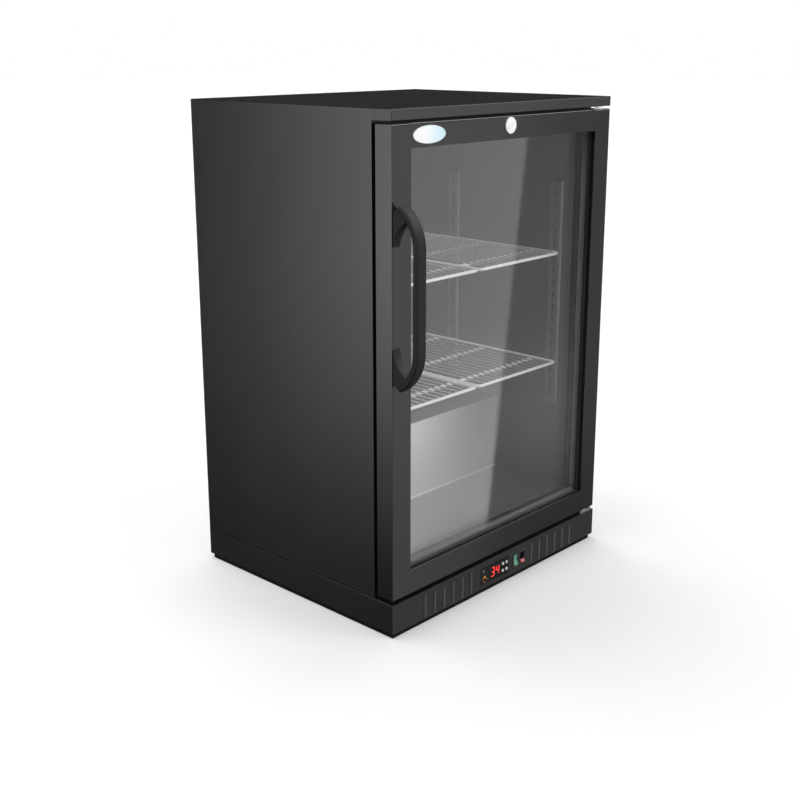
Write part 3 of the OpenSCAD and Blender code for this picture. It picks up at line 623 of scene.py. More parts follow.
FINISHES: dict[str, Finish] = {
    "black_powder_coat": CoatFinish("black powder coat", (0.018, 0.018, 0.0185), 0.20,
                                    specular=0.6),
    # The worktop's top face is multiplied by 0.3: painted shade on the top.
    "worktop_coat": CoatFinish("worktop powder coat", (0.040, 0.040, 0.0405), 0.20, top_z=0.8936,
                               top_tone=0.3),
    # The base tray is near black: painted shade for the dark strip under the kick plate.
    "tray_black": CoatFinish("tray painted shade", (0.004, 0.004, 0.004), 0.8, specular=0.1),
    "door_frame_black": CoatFinish("door frame black", (0.019, 0.019, 0.0195), 0.15, grain=0.8 * MM,
                                   grain_depth=0.004 * MM, specular=0.62),
    # Faces standing forward of the plate, the crests of the ribs, are 4.6 times lighter: painted
    # highlight.
    "kick_plastic": CoatFinish("kick plate plastic", (0.017, 0.0172, 0.018), 0.3, grain=0.5 * MM,
                               painted_front_y=-0.2366, painted_front_gain=3.6),
    "handle_plastic": CoatFinish("handle plastic", (0.024, 0.024, 0.0243), 0.45, grain=0.5 * MM,
                                 specular=0.14),
    "foam": FoamFinish("insulating foam", (0.80, 0.70, 0.45)),
    "liner_aluminium": StuccoFinish("stucco aluminium", (0.57, 0.57, 0.57), 0.24),
    # The walls take a darker copy of the lining: painted shade deep in the cabinet.
    "wall_lining": CoatFinish("wall lining painted shade", (0.25, 0.25, 0.25), 0.4, grain=0.8 * MM),
    # The narrow sides of the standards are painted light against the dull broad face: painted
    # highlight.
    "standard_steel": StripFinish("rolled steel strip", (0.34, 0.34, 0.34), (0.85, 0.85, 0.85),
                                  0.4),
    "shelf_chrome": MetalFinish("plated clip", (0.24, 0.24, 0.24), 0.35, metallic=0.3),
    # Rims and rods are near white and glow, a painted highlight; the fine wires take a darker copy
    # of the same plating, painted shade.
    "shelf_wire": MetalFinish("shelf wire painted light", (0.95, 0.95, 0.96), 0.25, metallic=0.1,
                              fine=(0.40, 0.40, 0.40), glow=0.22),
    "zinc_steel": ZincFinish("zinc plated steel", (0.72, 0.73, 0.74), 0.3),
    "condenser_fins": MetalFinish("condenser fins", (0.5, 0.51, 0.52), 0.35),
    "fan_plastic": CoatFinish("fan plastic", (0.03, 0.03, 0.032), 0.4),
    "lamp_diffuser": CoatFinish("lamp diffuser", (0.82, 0.84, 0.86), 0.3, clouding=0.04),
    "rubber": CoatFinish("soft rubber", (0.008, 0.008, 0.008), 0.6, grain=0.4 * MM, specular=0.25),
    "control_plastic": CoatFinish("control plastic", (0.02, 0.02, 0.022), 0.38),
    "display_film": CoatFinish("display film", (0.006, 0.006, 0.007), 0.12, clouding=0.05,
                               grain_depth=0.0),
    "white_key": CoatFinish("white key", (0.72, 0.72, 0.70), 0.35, clouding=0.05),
    "green_rocker": GlowFinish("green rocker", (0.08, 0.22, 0.14), 0.3),
    "red_rocker": GlowFinish("red rocker", (0.42, 0.11, 0.12), 0.3),
    "compressor_paint": CoatFinish("compressor paint", (0.012, 0.012, 0.013), 0.28, coat=0.3),
    "copper": MetalFinish("drawn copper", (0.72, 0.36, 0.22), 0.25),
    "glass": GlassFinish("float glass", (0.975, 0.975, 0.975)),
    "spacer_bar": MetalFinish("spacer bar", (0.17, 0.17, 0.17), 0.6, metallic=0.0),
    # The bush glows though it is no lamp: painted light that keeps it pale in shade.
    "nylon": GlowFinish("nylon bush", (0.86, 0.86, 0.84), 0.5),
    "badge_enamel": EnamelFinish("badge enamel", (0.97, 0.99, 1.0), (0.62, 0.88, 0.97),
                                 -0.236, -0.170),
    # Near white, nearly without metal gloss, and glowing: painted light on the lock.
    "lock_chrome": MetalFinish("lock chrome painted light", (0.96, 0.96, 0.96), 0.3, metallic=0.05, glow=0.12),
    # In front of its inner lip the bead is darkened to near black: painted shade in the recess in
    # front of the glass.
    "bead_rubber": CoatFinish("glazing bead", (0.06, 0.06, 0.06), 0.75, specular=0.08,
                              painted_front_y=-0.2265, painted_front_gain=-0.95),
    # A pale fillet at the foot of the step: the fillet is a shape, and its pale colour a painted
    # highlight of the fold.
    "fold_highlight": CoatFinish("sealant bead", (0.80, 0.80, 0.79), 0.4, clouding=0.05),
    "badge_edge": CoatFinish("badge edge", (0.86, 0.87, 0.87), 0.2, clouding=0.03),
    "digit_red": GlowFinish("lit digit", (0.85, 0.03, 0.02), 1.6),
    "mark_amber": GlowFinish("amber mark", (0.45, 0.17, 0.02), 0.8),
    "mark_grey": GlowFinish("grey mark", (0.18, 0.19, 0.17), 0.3),
}


class Palette:
    """Builds each finish once."""

    _made: dict[str, bpy.types.Material] = {}

    @classmethod
    def get(cls, slot: str) -> bpy.types.Material:
        """The material of a finish.

        Args:
            slot: a key of FINISHES.

        Returns:
            The material.
        """
        if slot not in cls._made:
            cls._made[slot] = FINISHES[slot].material()
        return cls._made[slot]


# ---------------------------------------------------------------- making pieces


def add_object(name: str, data: bpy.types.ID) -> bpy.types.Object:
    """Puts some data into the scene as an object.

    Args:
        name: the object's name.
        data: its mesh, camera or lamp.

    Returns:
        The object.
    """
    thing = bpy.data.objects.new(name, data)
    bpy.context.scene.collection.objects.link(thing)
    return thing


def mesh_object(name: str, shape: bmesh.types.BMesh,
                material: bpy.types.Material) -> bpy.types.Object:
    """Makes an object of a shape in one material.

    Args:
        name: the name of the object and its mesh.
        shape: its shape, freed here.
        material: its material.

    Returns:
        The object, at the origin.
    """
    mesh = bpy.data.meshes.new(name)
    shape.to_mesh(mesh)
    shape.free()
    mesh.materials.append(material)
    return add_object(name, mesh)


class Recipe(NodeSheet):
    """A Geometry Nodes tree with named sizes, from which plain meshes are made."""

    def __init__(self, name: str) -> None:
        """Makes the tree.

        Args:
            name: the tree's name.
        """
        super().__init__(bpy.data.node_groups.new(name, "GeometryNodeTree"))
        self.tree.interface.new_socket("Geometry", in_out="OUTPUT",
                                       socket_type="NodeSocketGeometry")
        self.entry = self.tree.nodes.new("NodeGroupInput")
        self.names: dict[str, str] = {}

    def size(self, name: str, kind: str = "NodeSocketFloat") -> Wire:
        """Adds a named input.

        Args:
            name: the input's name.
            kind: its socket type.

        Returns:
            The input, as a wire.
        """
        item = self.tree.interface.new_socket(name, in_out="INPUT", socket_type=kind)
        self.names[name] = item.identifier
        return Wire(self, next(s for s in self.entry.outputs if s.identifier == item.identifier))

    def bar(self, start: Wire, end: Wire, radius: Value, sides: int) -> Wire:
        """A round bar between two points."""
        line = self.node("GeometryNodeCurvePrimitiveLine", {}, {"Start": start, "End": end})
        return self.sweep(line, radius, sides)

    def sweep(self, path: Wire, radius: Value, sides: int) -> Wire:
        """A round tube along a curve."""
        ring = self.node("GeometryNodeCurvePrimitiveCircle", {},
                         {"Resolution": sides, "Radius": radius})
        return self.node("GeometryNodeCurveToMesh", {},
                         {"Curve": path, "Profile Curve": ring, "Fill Caps": True})

    def row(self, shape: Wire, count: Value, start: Wire, step: Wire) -> Wire:
        """Instances of a shape at equal steps."""
        points = self.node("GeometryNodeMeshLine", {}, {"Count": count, "Start Location": start,
                                                        "Offset": step})
        return self.node("GeometryNodeInstanceOnPoints", {}, {"Points": points, "Instance": shape})

    def move(self, shape: Wire, by: Value) -> Wire:
        """The shape at another place."""
        return self.node("GeometryNodeTransform", {}, {"Geometry": shape, "Translation": by})

    def join(self, *shapes: Wire) -> Wire:
        """Several shapes as one."""
        return self.node("GeometryNodeJoinGeometry", {}, {"Geometry": list(shapes)})

    def close(self, shape: Wire, finish: str) -> "Recipe":
        """Ends the tree.

        Args:
            shape: what the tree makes.
            finish: a key of FINISHES.

        Returns:
            This recipe.
        """
        real = self.node("GeometryNodeRealizeInstances", {}, {"Geometry": shape})
        dressed = self.node("GeometryNodeSetMaterial", {}, {"Geometry": real,
                                                            "Material": Palette.get(finish)})
        end = self.tree.nodes.new("NodeGroupOutput")
        self.feed(end.inputs["Geometry"], dressed)
        return self

    def make(self, name: str, sizes: dict[str, Any]) -> bpy.types.Object:
        """Runs the tree and turns the result into a plain mesh.

        Args:
            name: the piece's name.
            sizes: the value of each named input.

        Returns:
            The piece, at the origin.
        """
        piece = add_object(name, bpy.data.meshes.new(name))
        modifier = piece.modifiers.new("recipe", "NODES")
        modifier.node_group = self.tree
        for size_name, value in sizes.items():
            modifier[self.names[size_name]] = value
        bake(piece)
        return piece


def bake(piece: bpy.types.Object) -> None:
    """Turns a piece with live modifiers into a plain mesh.

    Args:
        piece: the piece; its modifiers are removed.
    """
    piece.update_tag()
    bpy.context.view_layer.update()
    graph = bpy.context.evaluated_depsgraph_get()
    mesh = bpy.data.meshes.new_from_object(piece.evaluated_get(graph),
                                           preserve_all_data_layers=True, depsgraph=graph)
    piece.modifiers.clear()
    old = piece.data
    piece.data = mesh
    mesh.name = piece.name
    if old.users == 0:
        bpy.data.meshes.remove(old)


def new_piece(name: str, shape: bmesh.types.BMesh, finish: str) -> bpy.types.Object:
    """Makes an object of a finished bmesh.

    Args:
        name: the piece's name.
        shape: its shape, freed here.
        finish: a key of FINISHES.

    Returns:
        The piece, at the origin.
    """
    bmesh.ops.recalc_face_normals(shape, faces=shape.faces)
    return mesh_object(name, shape, Palette.get(finish))


def smooth_round_faces(mesh: bpy.types.Mesh, crease: float = math.radians(32)) -> None:
    """Shades a mesh smooth, but for edges sharper than the crease angle."""
    mesh.shade_smooth()
    mesh.set_sharp_from_angle(angle=crease)


def box_shape(shape: bmesh.types.BMesh, low: Vector, high: Vector) -> None:
    """Adds a box between two corners.

    Args:
        shape: the bmesh that gets it.
        low: its lowest corner.
        high: its highest corner.
    """
    size = high - low
    place = Matrix.Translation((low + high) / 2) @ Matrix.Diagonal((*size, 1.0))
    bmesh.ops.create_cube(shape, size=1.0, matrix=place)


def skin(shape: bmesh.types.BMesh, rings: list[list[bmesh.types.BMVert]], closed: bool) -> None:
    """Spans faces from each ring of points to the next.

    Args:
        shape: the bmesh that holds the points and gets the faces.
        rings: rings of equally many points.
        closed: whether the last ring is joined to the first.
    """
    for ring, after in zip(rings, rings[1:] + rings[:1] if closed else rings[1:]):
        for i, vert in enumerate(ring):
            j = (i + 1) % len(ring)
            shape.faces.new((vert, ring[j], after[j], after[i]))


def prism(shape: bmesh.types.BMesh, rings: list[list[bmesh.types.BMVert]]) -> None:
    """Closes two like rings of points into a solid."""
    for ring in rings:
        shape.faces.new(ring)
    skin(shape, rings, closed=False)


def edges(*names: str) -> tuple[tuple[Face, ...], ...]:
    """Edges of a box, each named by its two faces, such as "top front"."""
    return tuple(tuple(Face[word.upper()] for word in name.split()) for name in names)


@dataclass(frozen=True)
class Rounding:
    """Which edges of a construction solid are rounded, and how much."""

    radius: float
    edges: tuple[tuple[Face, ...], ...] = ()
    steps: int = 3
    wide: tuple[tuple[Face, ...], ...] = ()
    narrow_share: float = 1.0

    def weight(self, edge: bmesh.types.BMEdge, low: Vector, high: Vector) -> float:
        """The share of the radius that an edge gets: none away from the box's named edges.

        Args:
            edge: the edge.
            low: the box's lowest corner.
            high: its highest corner.

        Returns:
            The share.
        """
        corners = (low, high)
        for pair in self.edges:
            if all(abs(v.co[axis] - corners[side][axis]) < ON_EDGE
                   for v in edge.verts for axis, side in (face.value for face in pair)):
                return 1.0 if pair in self.wide else self.narrow_share
        return 0.0


def rounded_copy(node: str, rounding: Optional[Rounding] = None,
                 finish: Optional[str] = None) -> bpy.types.Object:
    """Makes a piece of a construction solid with merged faces and rounded edges.

    Args:
        node: the construction node.
        rounding: the edges to round, or None to keep them sharp.
        finish: a key of FINISHES, or None for the finish of the node's slot.

    Returns:
        The piece, riding on the node's body and standing for the node.
    """
    source = frame["nodes"][node]
    low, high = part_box(node)
    shape = bmesh.new()
    shape.from_mesh(source.data)
    bmesh.ops.remove_doubles(shape, verts=shape.verts, dist=SAME_POINT)
    bmesh.ops.dissolve_limit(shape, angle_limit=SAME_PLANE, verts=shape.verts, edges=shape.edges)
    if rounding and rounding.edges:
        weight = shape.edges.layers.float.new("bevel_weight_edge")
        for edge in shape.edges:
            edge[weight] = rounding.weight(edge, low, high)
    piece = mesh_object(f"{node}_skin", shape, Palette.get(finish or SLOT_OF[node]))
    smooth_round_faces(piece.data)
    if rounding:
        bevel = piece.modifiers.new("edges", "BEVEL")
        bevel.width = rounding.radius
        bevel.segments = rounding.steps
        bevel.limit_method = "WEIGHT" if rounding.edges else "ANGLE"
        bevel.angle_limit = ROUND_LIMIT
        bevel.use_clamp_overlap = False
        bevel.harden_normals = True
        bevel.miter_outer = "MITER_ARC"
        flat = piece.modifiers.new("normals", "WEIGHTED_NORMAL")
        flat.keep_sharp = True
        bake(piece)
    settle(piece, BODY_OF[node], SLOT_OF[node], node)
    return piece


def settle(piece: bpy.types.Object, body: Union[Body, str], slot: str, *replaced: str) -> None:
    """Makes a piece ride on its body and hides the construction nodes that it stands for.

    Args:
        piece: the piece.
        body: the body that it moves with.
        slot: not used.
        replaced: construction nodes that it stands for.
    """
    name = body.value if isinstance(body, Body) else body
    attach(piece, name)
    if replaced:
        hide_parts(*replaced)
    log.info("%s rides on %s", piece.name, name)


BODY_OF: dict[str, str] = {
    node: body for body, nodes in frame["record"]["behaviour"]["bodies"].items() for node in nodes}
SLOT_OF: dict[str, str] = {
    part["node"]: part["material_slot"] for part in frame["record"]["subparts"]}


def dress_nodes() -> None:
    """Gives every construction node the finish of its slot."""
    for node, piece in frame["nodes"].items():
        piece.data.materials.clear()
        piece.data.materials.append(Palette.get(SLOT_OF[node]))
    log.info("%d construction nodes dressed", len(frame["nodes"]))


# ---------------------------------------------------------------- cabinet


@dataclass
class Casing:
    """Outer sheets of the cabinet, folded with a small radius where they turn."""

    fold: float = 0.9 * MM
    strip_fold: float = 0.6 * MM
    cover_fold: float = 0.5 * MM

    def build(self) -> None:
        """Rounds the folds that show and leaves the flush seams closed."""
        rounded_copy("worktop", Rounding(self.fold, edges(
            "top front", "top left", "top right", "front left", "front right", "bottom front",
            "top rear")), "worktop_coat")
        for side in ("left", "right"):
            rounded_copy(f"side_panel_{side}", Rounding(self.fold, edges(
                f"top {side}", f"{side} rear", f"bottom {side}")))
        rounded_copy("base_sides", Rounding(self.strip_fold, edges(
            "bottom left", "top left", "bottom right", "top right", "left rear", "right rear")))
        rounded_copy("rear_cover", Rounding(self.cover_fold))


@dataclass
class Screws:
    """Pan head screws with a cross recess, set on sheets whose face points along +Y."""

    head_r: float = 3.6 * MM
    head_h: float = 1.7 * MM
    recess: float = 4.2 * MM
    recess_t: float = 0.9 * MM
    inset: float = 0.014
    side_count: int = 5
    side_start: float = 0.30
    side_step: float = 0.14
    top_count: int = 3
    top_step: float = 0.18

    def recipe(self) -> Recipe:
        """Builds the tree that sets a row of screws.

        Returns:
            The recipe, with inputs for the head, the start and the step of the row.
        """
        tree = Recipe("screw row")
        count = tree.size("Count", "NodeSocketInt")
        start = tree.size("Start", "NodeSocketVector")
        step = tree.size("Step", "NodeSocketVector")
        radius = tree.size("Head radius")
        height = tree.size("Head height")
        recess = tree.size("Recess length")
        recess_t = tree.size("Recess width")
        dome = tree.node("GeometryNodeMeshUVSphere", {},
                         {"Segments": 20, "Rings": 10, "Radius": 1.0})
        dome = tree.node("GeometryNodeTransform", {}, {
            "Geometry": dome, "Scale": tree.vector(radius, height, radius)})
        arms = [tree.node("GeometryNodeMeshCube", {}, {"Size": tree.vector(x, height * 1.2, z)})
                for x, z in ((recess, recess_t), (recess_t, recess))]
        cross = tree.move(tree.join(*arms), tree.vector(0.0, height, 0.0))
        head = tree.node("GeometryNodeMeshBoolean", {"operation": "DIFFERENCE"},
                         {"Mesh 1": dome, "Mesh 2": [cross]})
        return tree.close(tree.row(head, count, start, step), "zinc_steel")

    def build(self) -> None:
        """Sets the rows that hold the back sheet."""
        tree = self.recipe()
        sizes = {"Head radius": self.head_r, "Head height": self.head_h,
                 "Recess length": self.recess, "Recess width": self.recess_t}
        low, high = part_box("back_panel")
        upwards = (0.0, 0.0, self.side_step)
        rows = {
            "back_screws_left": (
                self.side_count, (low.x + self.inset, high.y, self.side_start), upwards),
            "back_screws_right": (
                self.side_count, (high.x - self.inset, high.y, self.side_start), upwards),
            "back_screws_top": (
                self.top_count, (-self.top_step, high.y, high.z - self.inset),
                (self.top_step, 0.0, 0.0)),
        }
        for name, (count, start, step) in rows.items():
            piece = tree.make(name, {"Count": count, "Start": start, "Step": step, **sizes})
            smooth_round_faces(piece.data)
            settle(piece, Body.CABINET, "zinc_steel")


@dataclass
class Shelving:
    """Wire shelves in two half grids each, with rims, cross rods and fine wires."""

    rod_r: float = 3.0 * MM
    wire_r: float = 1.7 * MM
    corner: float = 8.0 * MM
    wires: int = 13
    gap: float = 4.0 * MM
    sink_rim: float = 1.2 * MM
    sink_rod: float = 1.6 * MM
    saddle_w: float = 12.0 * MM
    saddle_inset: float = 60.0 * MM
    saddle_t: float = 2 * MM
    rod_sides: int = 14
    wire_sides: int = 10
    rod_shares: tuple[float, ...] = (-5 / 7, 0.0, 5 / 7)

    def recipe(self) -> Recipe:
        """Builds the tree of one shelf with its two halves.

        Returns:
            The recipe, with an input for each size.
        """
        tree = Recipe("wire shelf")
        width = tree.size("Half width")
        depth = tree.size("Depth")
        pitch = tree.size("Half pitch")
        front = tree.size("Front")
        top = tree.size("Top")
        rod_r = tree.size("Rod radius")
        wire_r = tree.size("Wire radius")
        corner = tree.size("Corner radius")
        wires = tree.size("Wires", "NodeSocketInt")
        rim_z = top - wire_r * 2.0 - rod_r + self.sink_rim
        rod_z = top - wire_r * 2.0 - rod_r + self.sink_rod
        middle = front + depth / 2.0
        reach_x = width / 2.0 - rod_r
        reach_y = depth / 2.0 - rod_r
        outline = tree.node("GeometryNodeCurvePrimitiveQuadrilateral", {"mode": "RECTANGLE"},
                            {"Width": reach_x * 2.0, "Height": reach_y * 2.0})
        outline = tree.node("GeometryNodeFilletCurve", {"mode": "POLY"},
                            {"Curve": outline, "Count": 8, "Radius": corner, "Limit Radius": True})
        rim = tree.move(tree.sweep(outline, rod_r, self.rod_sides),
                        tree.vector(0.0, middle, rim_z))
        rods = [tree.bar(tree.vector(-1.0 * reach_x, middle + reach_y * share, rod_z),
                         tree.vector(reach_x, middle + reach_y * share, rod_z), rod_r,
                         self.rod_sides)
                for share in self.rod_shares]
        step = reach_x * 2.0 / (wires + 1.0)
        wire_z = top - wire_r
        wire = tree.bar(tree.vector(0.0, middle - reach_y, wire_z),
                        tree.vector(0.0, middle + reach_y, wire_z), wire_r, self.wire_sides)
        wire = tree.node("GeometryNodeStoreNamedAttribute",
                         {"data_type": "FLOAT", "domain": "POINT"},
                         {"Geometry": wire, "Name": FINE, "Value": 1.0})
        grid = tree.row(wire, wires, tree.vector(step - reach_x, 0.0, 0.0),
                        tree.vector(step, 0.0, 0.0))
        half = tree.join(rim, grid, *rods)
        halves = tree.row(half, 2, tree.vector(pitch / -2.0, 0.0, 0.0),
                          tree.vector(pitch, 0.0, 0.0))
        tie = tree.node("GeometryNodeMeshCube", {}, {
            "Size": tree.vector(pitch - width + rod_r * 2.0, self.saddle_w, self.saddle_t)})
        first = tree.vector(0.0, front + self.saddle_inset, rim_z)
        ties = tree.row(tie, 2, first, tree.vector(0.0, depth - 2 * self.saddle_inset, 0.0))
        return tree.close(tree.join(halves, ties), "shelf_wire")

    def build(self) -> None:
        """Makes both shelves where their construction nodes are."""
        tree = self.recipe()
        for node in ("upper_shelf", "lower_shelf"):
            low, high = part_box(node)
            half = high.x - self.gap / 2
            piece = tree.make(f"{node}_wires", {
                "Half width": half, "Depth": high.y - low.y, "Half pitch": half + self.gap,
                "Front": low.y, "Top": high.z, "Rod radius": self.rod_r, "Wire radius": self.wire_r,
                "Corner radius": self.corner, "Wires": self.wires})
            smooth_round_faces(piece.data, math.radians(50))
            settle(piece, Body.CABINET, "shelf_chrome", node)


@dataclass
class Lining:
    """Standards whose narrow sides carry a painted highlight, and a pale fillet where the step
    meets the floor, whose colour is a painted highlight of the fold.
    """

    bead: float = 3.0 * MM
    bead_steps: int = 6
    bead_play: float = 0.5 * MM
    side_limit: float = 0.7

    def build_standards(self) -> None:
        """Marks the narrow sides of the standards, which their finish paints lighter as a painted
        highlight.
        """
        piece = rounded_copy("shelf_standards")
        marks = piece.data.attributes.new(NARROW, "FLOAT", "FACE")
        for face in piece.data.polygons:
            marks.data[face.index].value = float(abs(face.normal.y) > self.side_limit)

    def build_bead(self) -> None:
        """Runs a pale hollow fillet along the foot of the step; its pale colour is a painted
        highlight of the fold.
        """
        floor_low, floor_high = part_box("liner_floor")
        corner = Vector((0.0, floor_high.y, floor_high.z))
        shape = bmesh.new()
        arc = [(self.bead * (math.sin(a) - 1.0), self.bead * (1.0 - math.cos(a)))
               for a in (math.pi / 2 * i / self.bead_steps for i in range(self.bead_steps + 1))]
        ends = [[shape.verts.new((x, corner.y + y, corner.z + z)) for y, z in [*arc, (0.0, 0.0)]]
                for x in (floor_low.x + self.bead_play, floor_high.x - self.bead_play)]
        prism(shape, ends)
        piece = new_piece("step_fold_highlight", shape, "fold_highlight")
        smooth_round_faces(piece.data)
        settle(piece, Body.CABINET, "liner_aluminium")

    def build(self) -> None:
        """Makes the fittings of the lining."""
        self.build_standards()
        self.build_bead()


# ---------------------------------------------------------------- base and controls


@dataclass
class KickFront:
    """Ribbed kick plate with the controller, its keys, digits and marks, and two rockers."""

    edge: float = 0.5 * MM
    relief: float = 0.25 * MM
    digit_h: float = 19.0 * MM
    digit_w: float = 10.0 * MM
    digit_gap: float = 3.5 * MM
    stroke: float = 2.4 * MM
    slant: float = 0.1
    digits_x: float = 42.0 * MM
    digits: tuple[str, ...] = ("abcdg", "bcfg")
    # Pieces by the radius of their edges, in millimetres.
    moulding_edges: dict[float, tuple[str, ...]] = field(default_factory=lambda: {
        0.3: ("switch_bezels",), 0.4: ("power_rocker", "light_rocker"),
        0.35: ("set_button", "defrost_button", "up_button", "down_button")})
    bar_gap: float = 0.3 * MM
    bar_thin: float = 0.25 * MM
    mark_x: float = 11 * MM
    flake_shift: float = 3 * MM
    flake_drop: float = 7 * MM
    flake_arm: tuple[float, float] = (3.2, 0.35)
    # Each drop: x from mark_x, z from the window's foot, radius in millimetres, and corners.
    drops: tuple[tuple[float, float, float, int], ...] = (
        (0.0, 14.0, 2.6, 8), (-5.0, 11.0, 1.1, 6), (6.0, 9.5, 1.1, 6), (-3.0, 4.5, 0.9, 6),
        (1.0, 4.0, 0.9, 6))

    def segment_spots(self) -> dict[str, tuple[float, float, bool]]:
        """The middle of each bar of a seven bar digit, and whether it stands upright."""
        half_w = (self.digit_w - self.stroke) / 2
        half_h = (self.digit_h - self.stroke) / 2
        return {
            "a": (0.0, half_h, False), "g": (0.0, 0.0, False), "d": (0.0, -half_h, False),
            "b": (half_w, half_h / 2, True), "c": (half_w, -half_h / 2, True),
            "f": (-half_w, half_h / 2, True), "e": (-half_w, -half_h / 2, True)}

    def bar(self, shape: bmesh.types.BMesh, spot: Vector, reach: float, upright: bool) -> None:
        """Adds one pointed bar of a digit.

        Args:
            shape: the bmesh that gets it.
            spot: its middle, on the face of the window.
            reach: half its length.
            upright: whether it stands.
        """
        half = self.stroke / 2 - self.bar_thin
        outline = [(-reach, 0.0), (-reach + half, half), (reach - half, half),
                   (reach, 0.0), (reach - half, -half), (-reach + half, -half)]
        rings = []
        for y in (spot.y, spot.y - self.relief):
            ring = []
            for along, across in outline:
                x, z = (across, along) if upright else (along, across)
                ring.append(shape.verts.new(
                    (spot.x + x + (spot.z + z) * self.slant, y, spot.z + z)))
            rings.append(ring)
        prism(shape, rings)

    def build_digits(self, window: tuple[Vector, Vector]) -> None:
        """Lights two digits on the window.

        Args:
            window: the window's lowest and highest corners.
        """
        low, high = window
        centre = Vector((low.x + self.digits_x, low.y, (low.z + high.z) / 2))
        shape = bmesh.new()
        reach = (self.digit_w - self.stroke) / 2 - self.bar_gap
        tall = (self.digit_h - self.stroke) / 4 - self.bar_gap
        for i, lit in enumerate(self.digits):
            offset = (i - (len(self.digits) - 1) / 2) * (self.digit_w + self.digit_gap)
            for name, (x, z, upright) in self.segment_spots().items():
                if name in lit:
                    spot = Vector((offset + x, 0.0, z))
                    self.bar(shape, spot, tall if upright else reach, upright)
        bmesh.ops.translate(shape, verts=shape.verts, vec=centre)
        piece = new_piece("display_digits", shape, "digit_red")
        settle(piece, Body.CABINET, "display_film")

    def build_marks(self, window: tuple[Vector, Vector]) -> None:
        """Lights the small marks left of the digits: a grey flake over amber drops.

        Args:
            window: the window's lowest and highest corners.
        """
        low, high = window
        x = low.x + self.mark_x
        length, width = self.flake_arm
        flake = bmesh.new()
        for i in range(3):
            arm = bmesh.new()
            box_shape(arm, Vector((-length, -self.relief / MM, -width)) * MM,
                      Vector((length, 0.0, width)) * MM)
            bmesh.ops.rotate(arm, verts=arm.verts, matrix=Matrix.Rotation(math.pi * i / 3, 3, "Y"))
            merge(flake, arm)
        bmesh.ops.translate(flake, verts=flake.verts,
                            vec=(x - self.flake_shift, low.y, high.z - self.flake_drop))
        settle(new_piece("display_flake", flake, "mark_grey"), Body.CABINET, "display_film")
        drops = bmesh.new()
        for dx, dz, radius, corners in self.drops:
            spot = (x + dx * MM, low.y - self.relief / 2, low.z + dz * MM)
            place = Matrix.Translation(spot) @ Matrix.Rotation(math.pi / 2, 4, "X")
            bmesh.ops.create_cone(drops, cap_ends=True, segments=corners, radius1=radius * MM,
                                  radius2=radius * MM, depth=self.relief, matrix=place)
        settle(new_piece("display_drops", drops, "mark_amber"), Body.CABINET, "display_film")

    def build(self) -> None:
        """Rounds the mouldings and lights the display."""
        rounded_copy("kick_plate", Rounding(self.edge, edges("top front", "bottom front")))
        for radius, nodes in self.moulding_edges.items():
            for node in nodes:
                rounded_copy(node, Rounding(radius * MM))
        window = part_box("controller_window")
        self.build_digits(window)
        self.build_marks(window)


def merge(target: bmesh.types.BMesh, part: bmesh.types.BMesh) -> None:
    """Adds a part to a shape and frees the part.

    Args:
        target: the shape that grows.
        part: the part.
    """
    mesh = bpy.data.meshes.new("part")
    part.to_mesh(mesh)
    part.free()
    target.from_mesh(mesh)
    bpy.data.meshes.remove(mesh)


# ---------------------------------------------------------------- door


@dataclass
class Surround:
    """A strip of one section carried round a rectangle, with mitred corners."""

    name: str
    section: tuple[tuple[float, float], ...]
    finish: str

    def build(self, low: Vector, high: Vector) -> bpy.types.Object:
        """Carries the section round the rectangle between two corners, growing inwards.

        Args:
            low: the lowest corner, whose y is where the section's depth starts.
            high: the highest corner.

        Returns:
            The strip.
        """
        shape = bmesh.new()
        rings = []
        for across, deep in self.section:
            rings.append([shape.verts.new((x, low.y + deep, z)) for x, z in (
                (low.x + across, low.z + across), (high.x - across, low.z + across),
                (high.x - across, high.z - across), (low.x + across, high.z - across))])
        skin(shape, rings, closed=True)
        return new_piece(self.name, shape, self.finish)


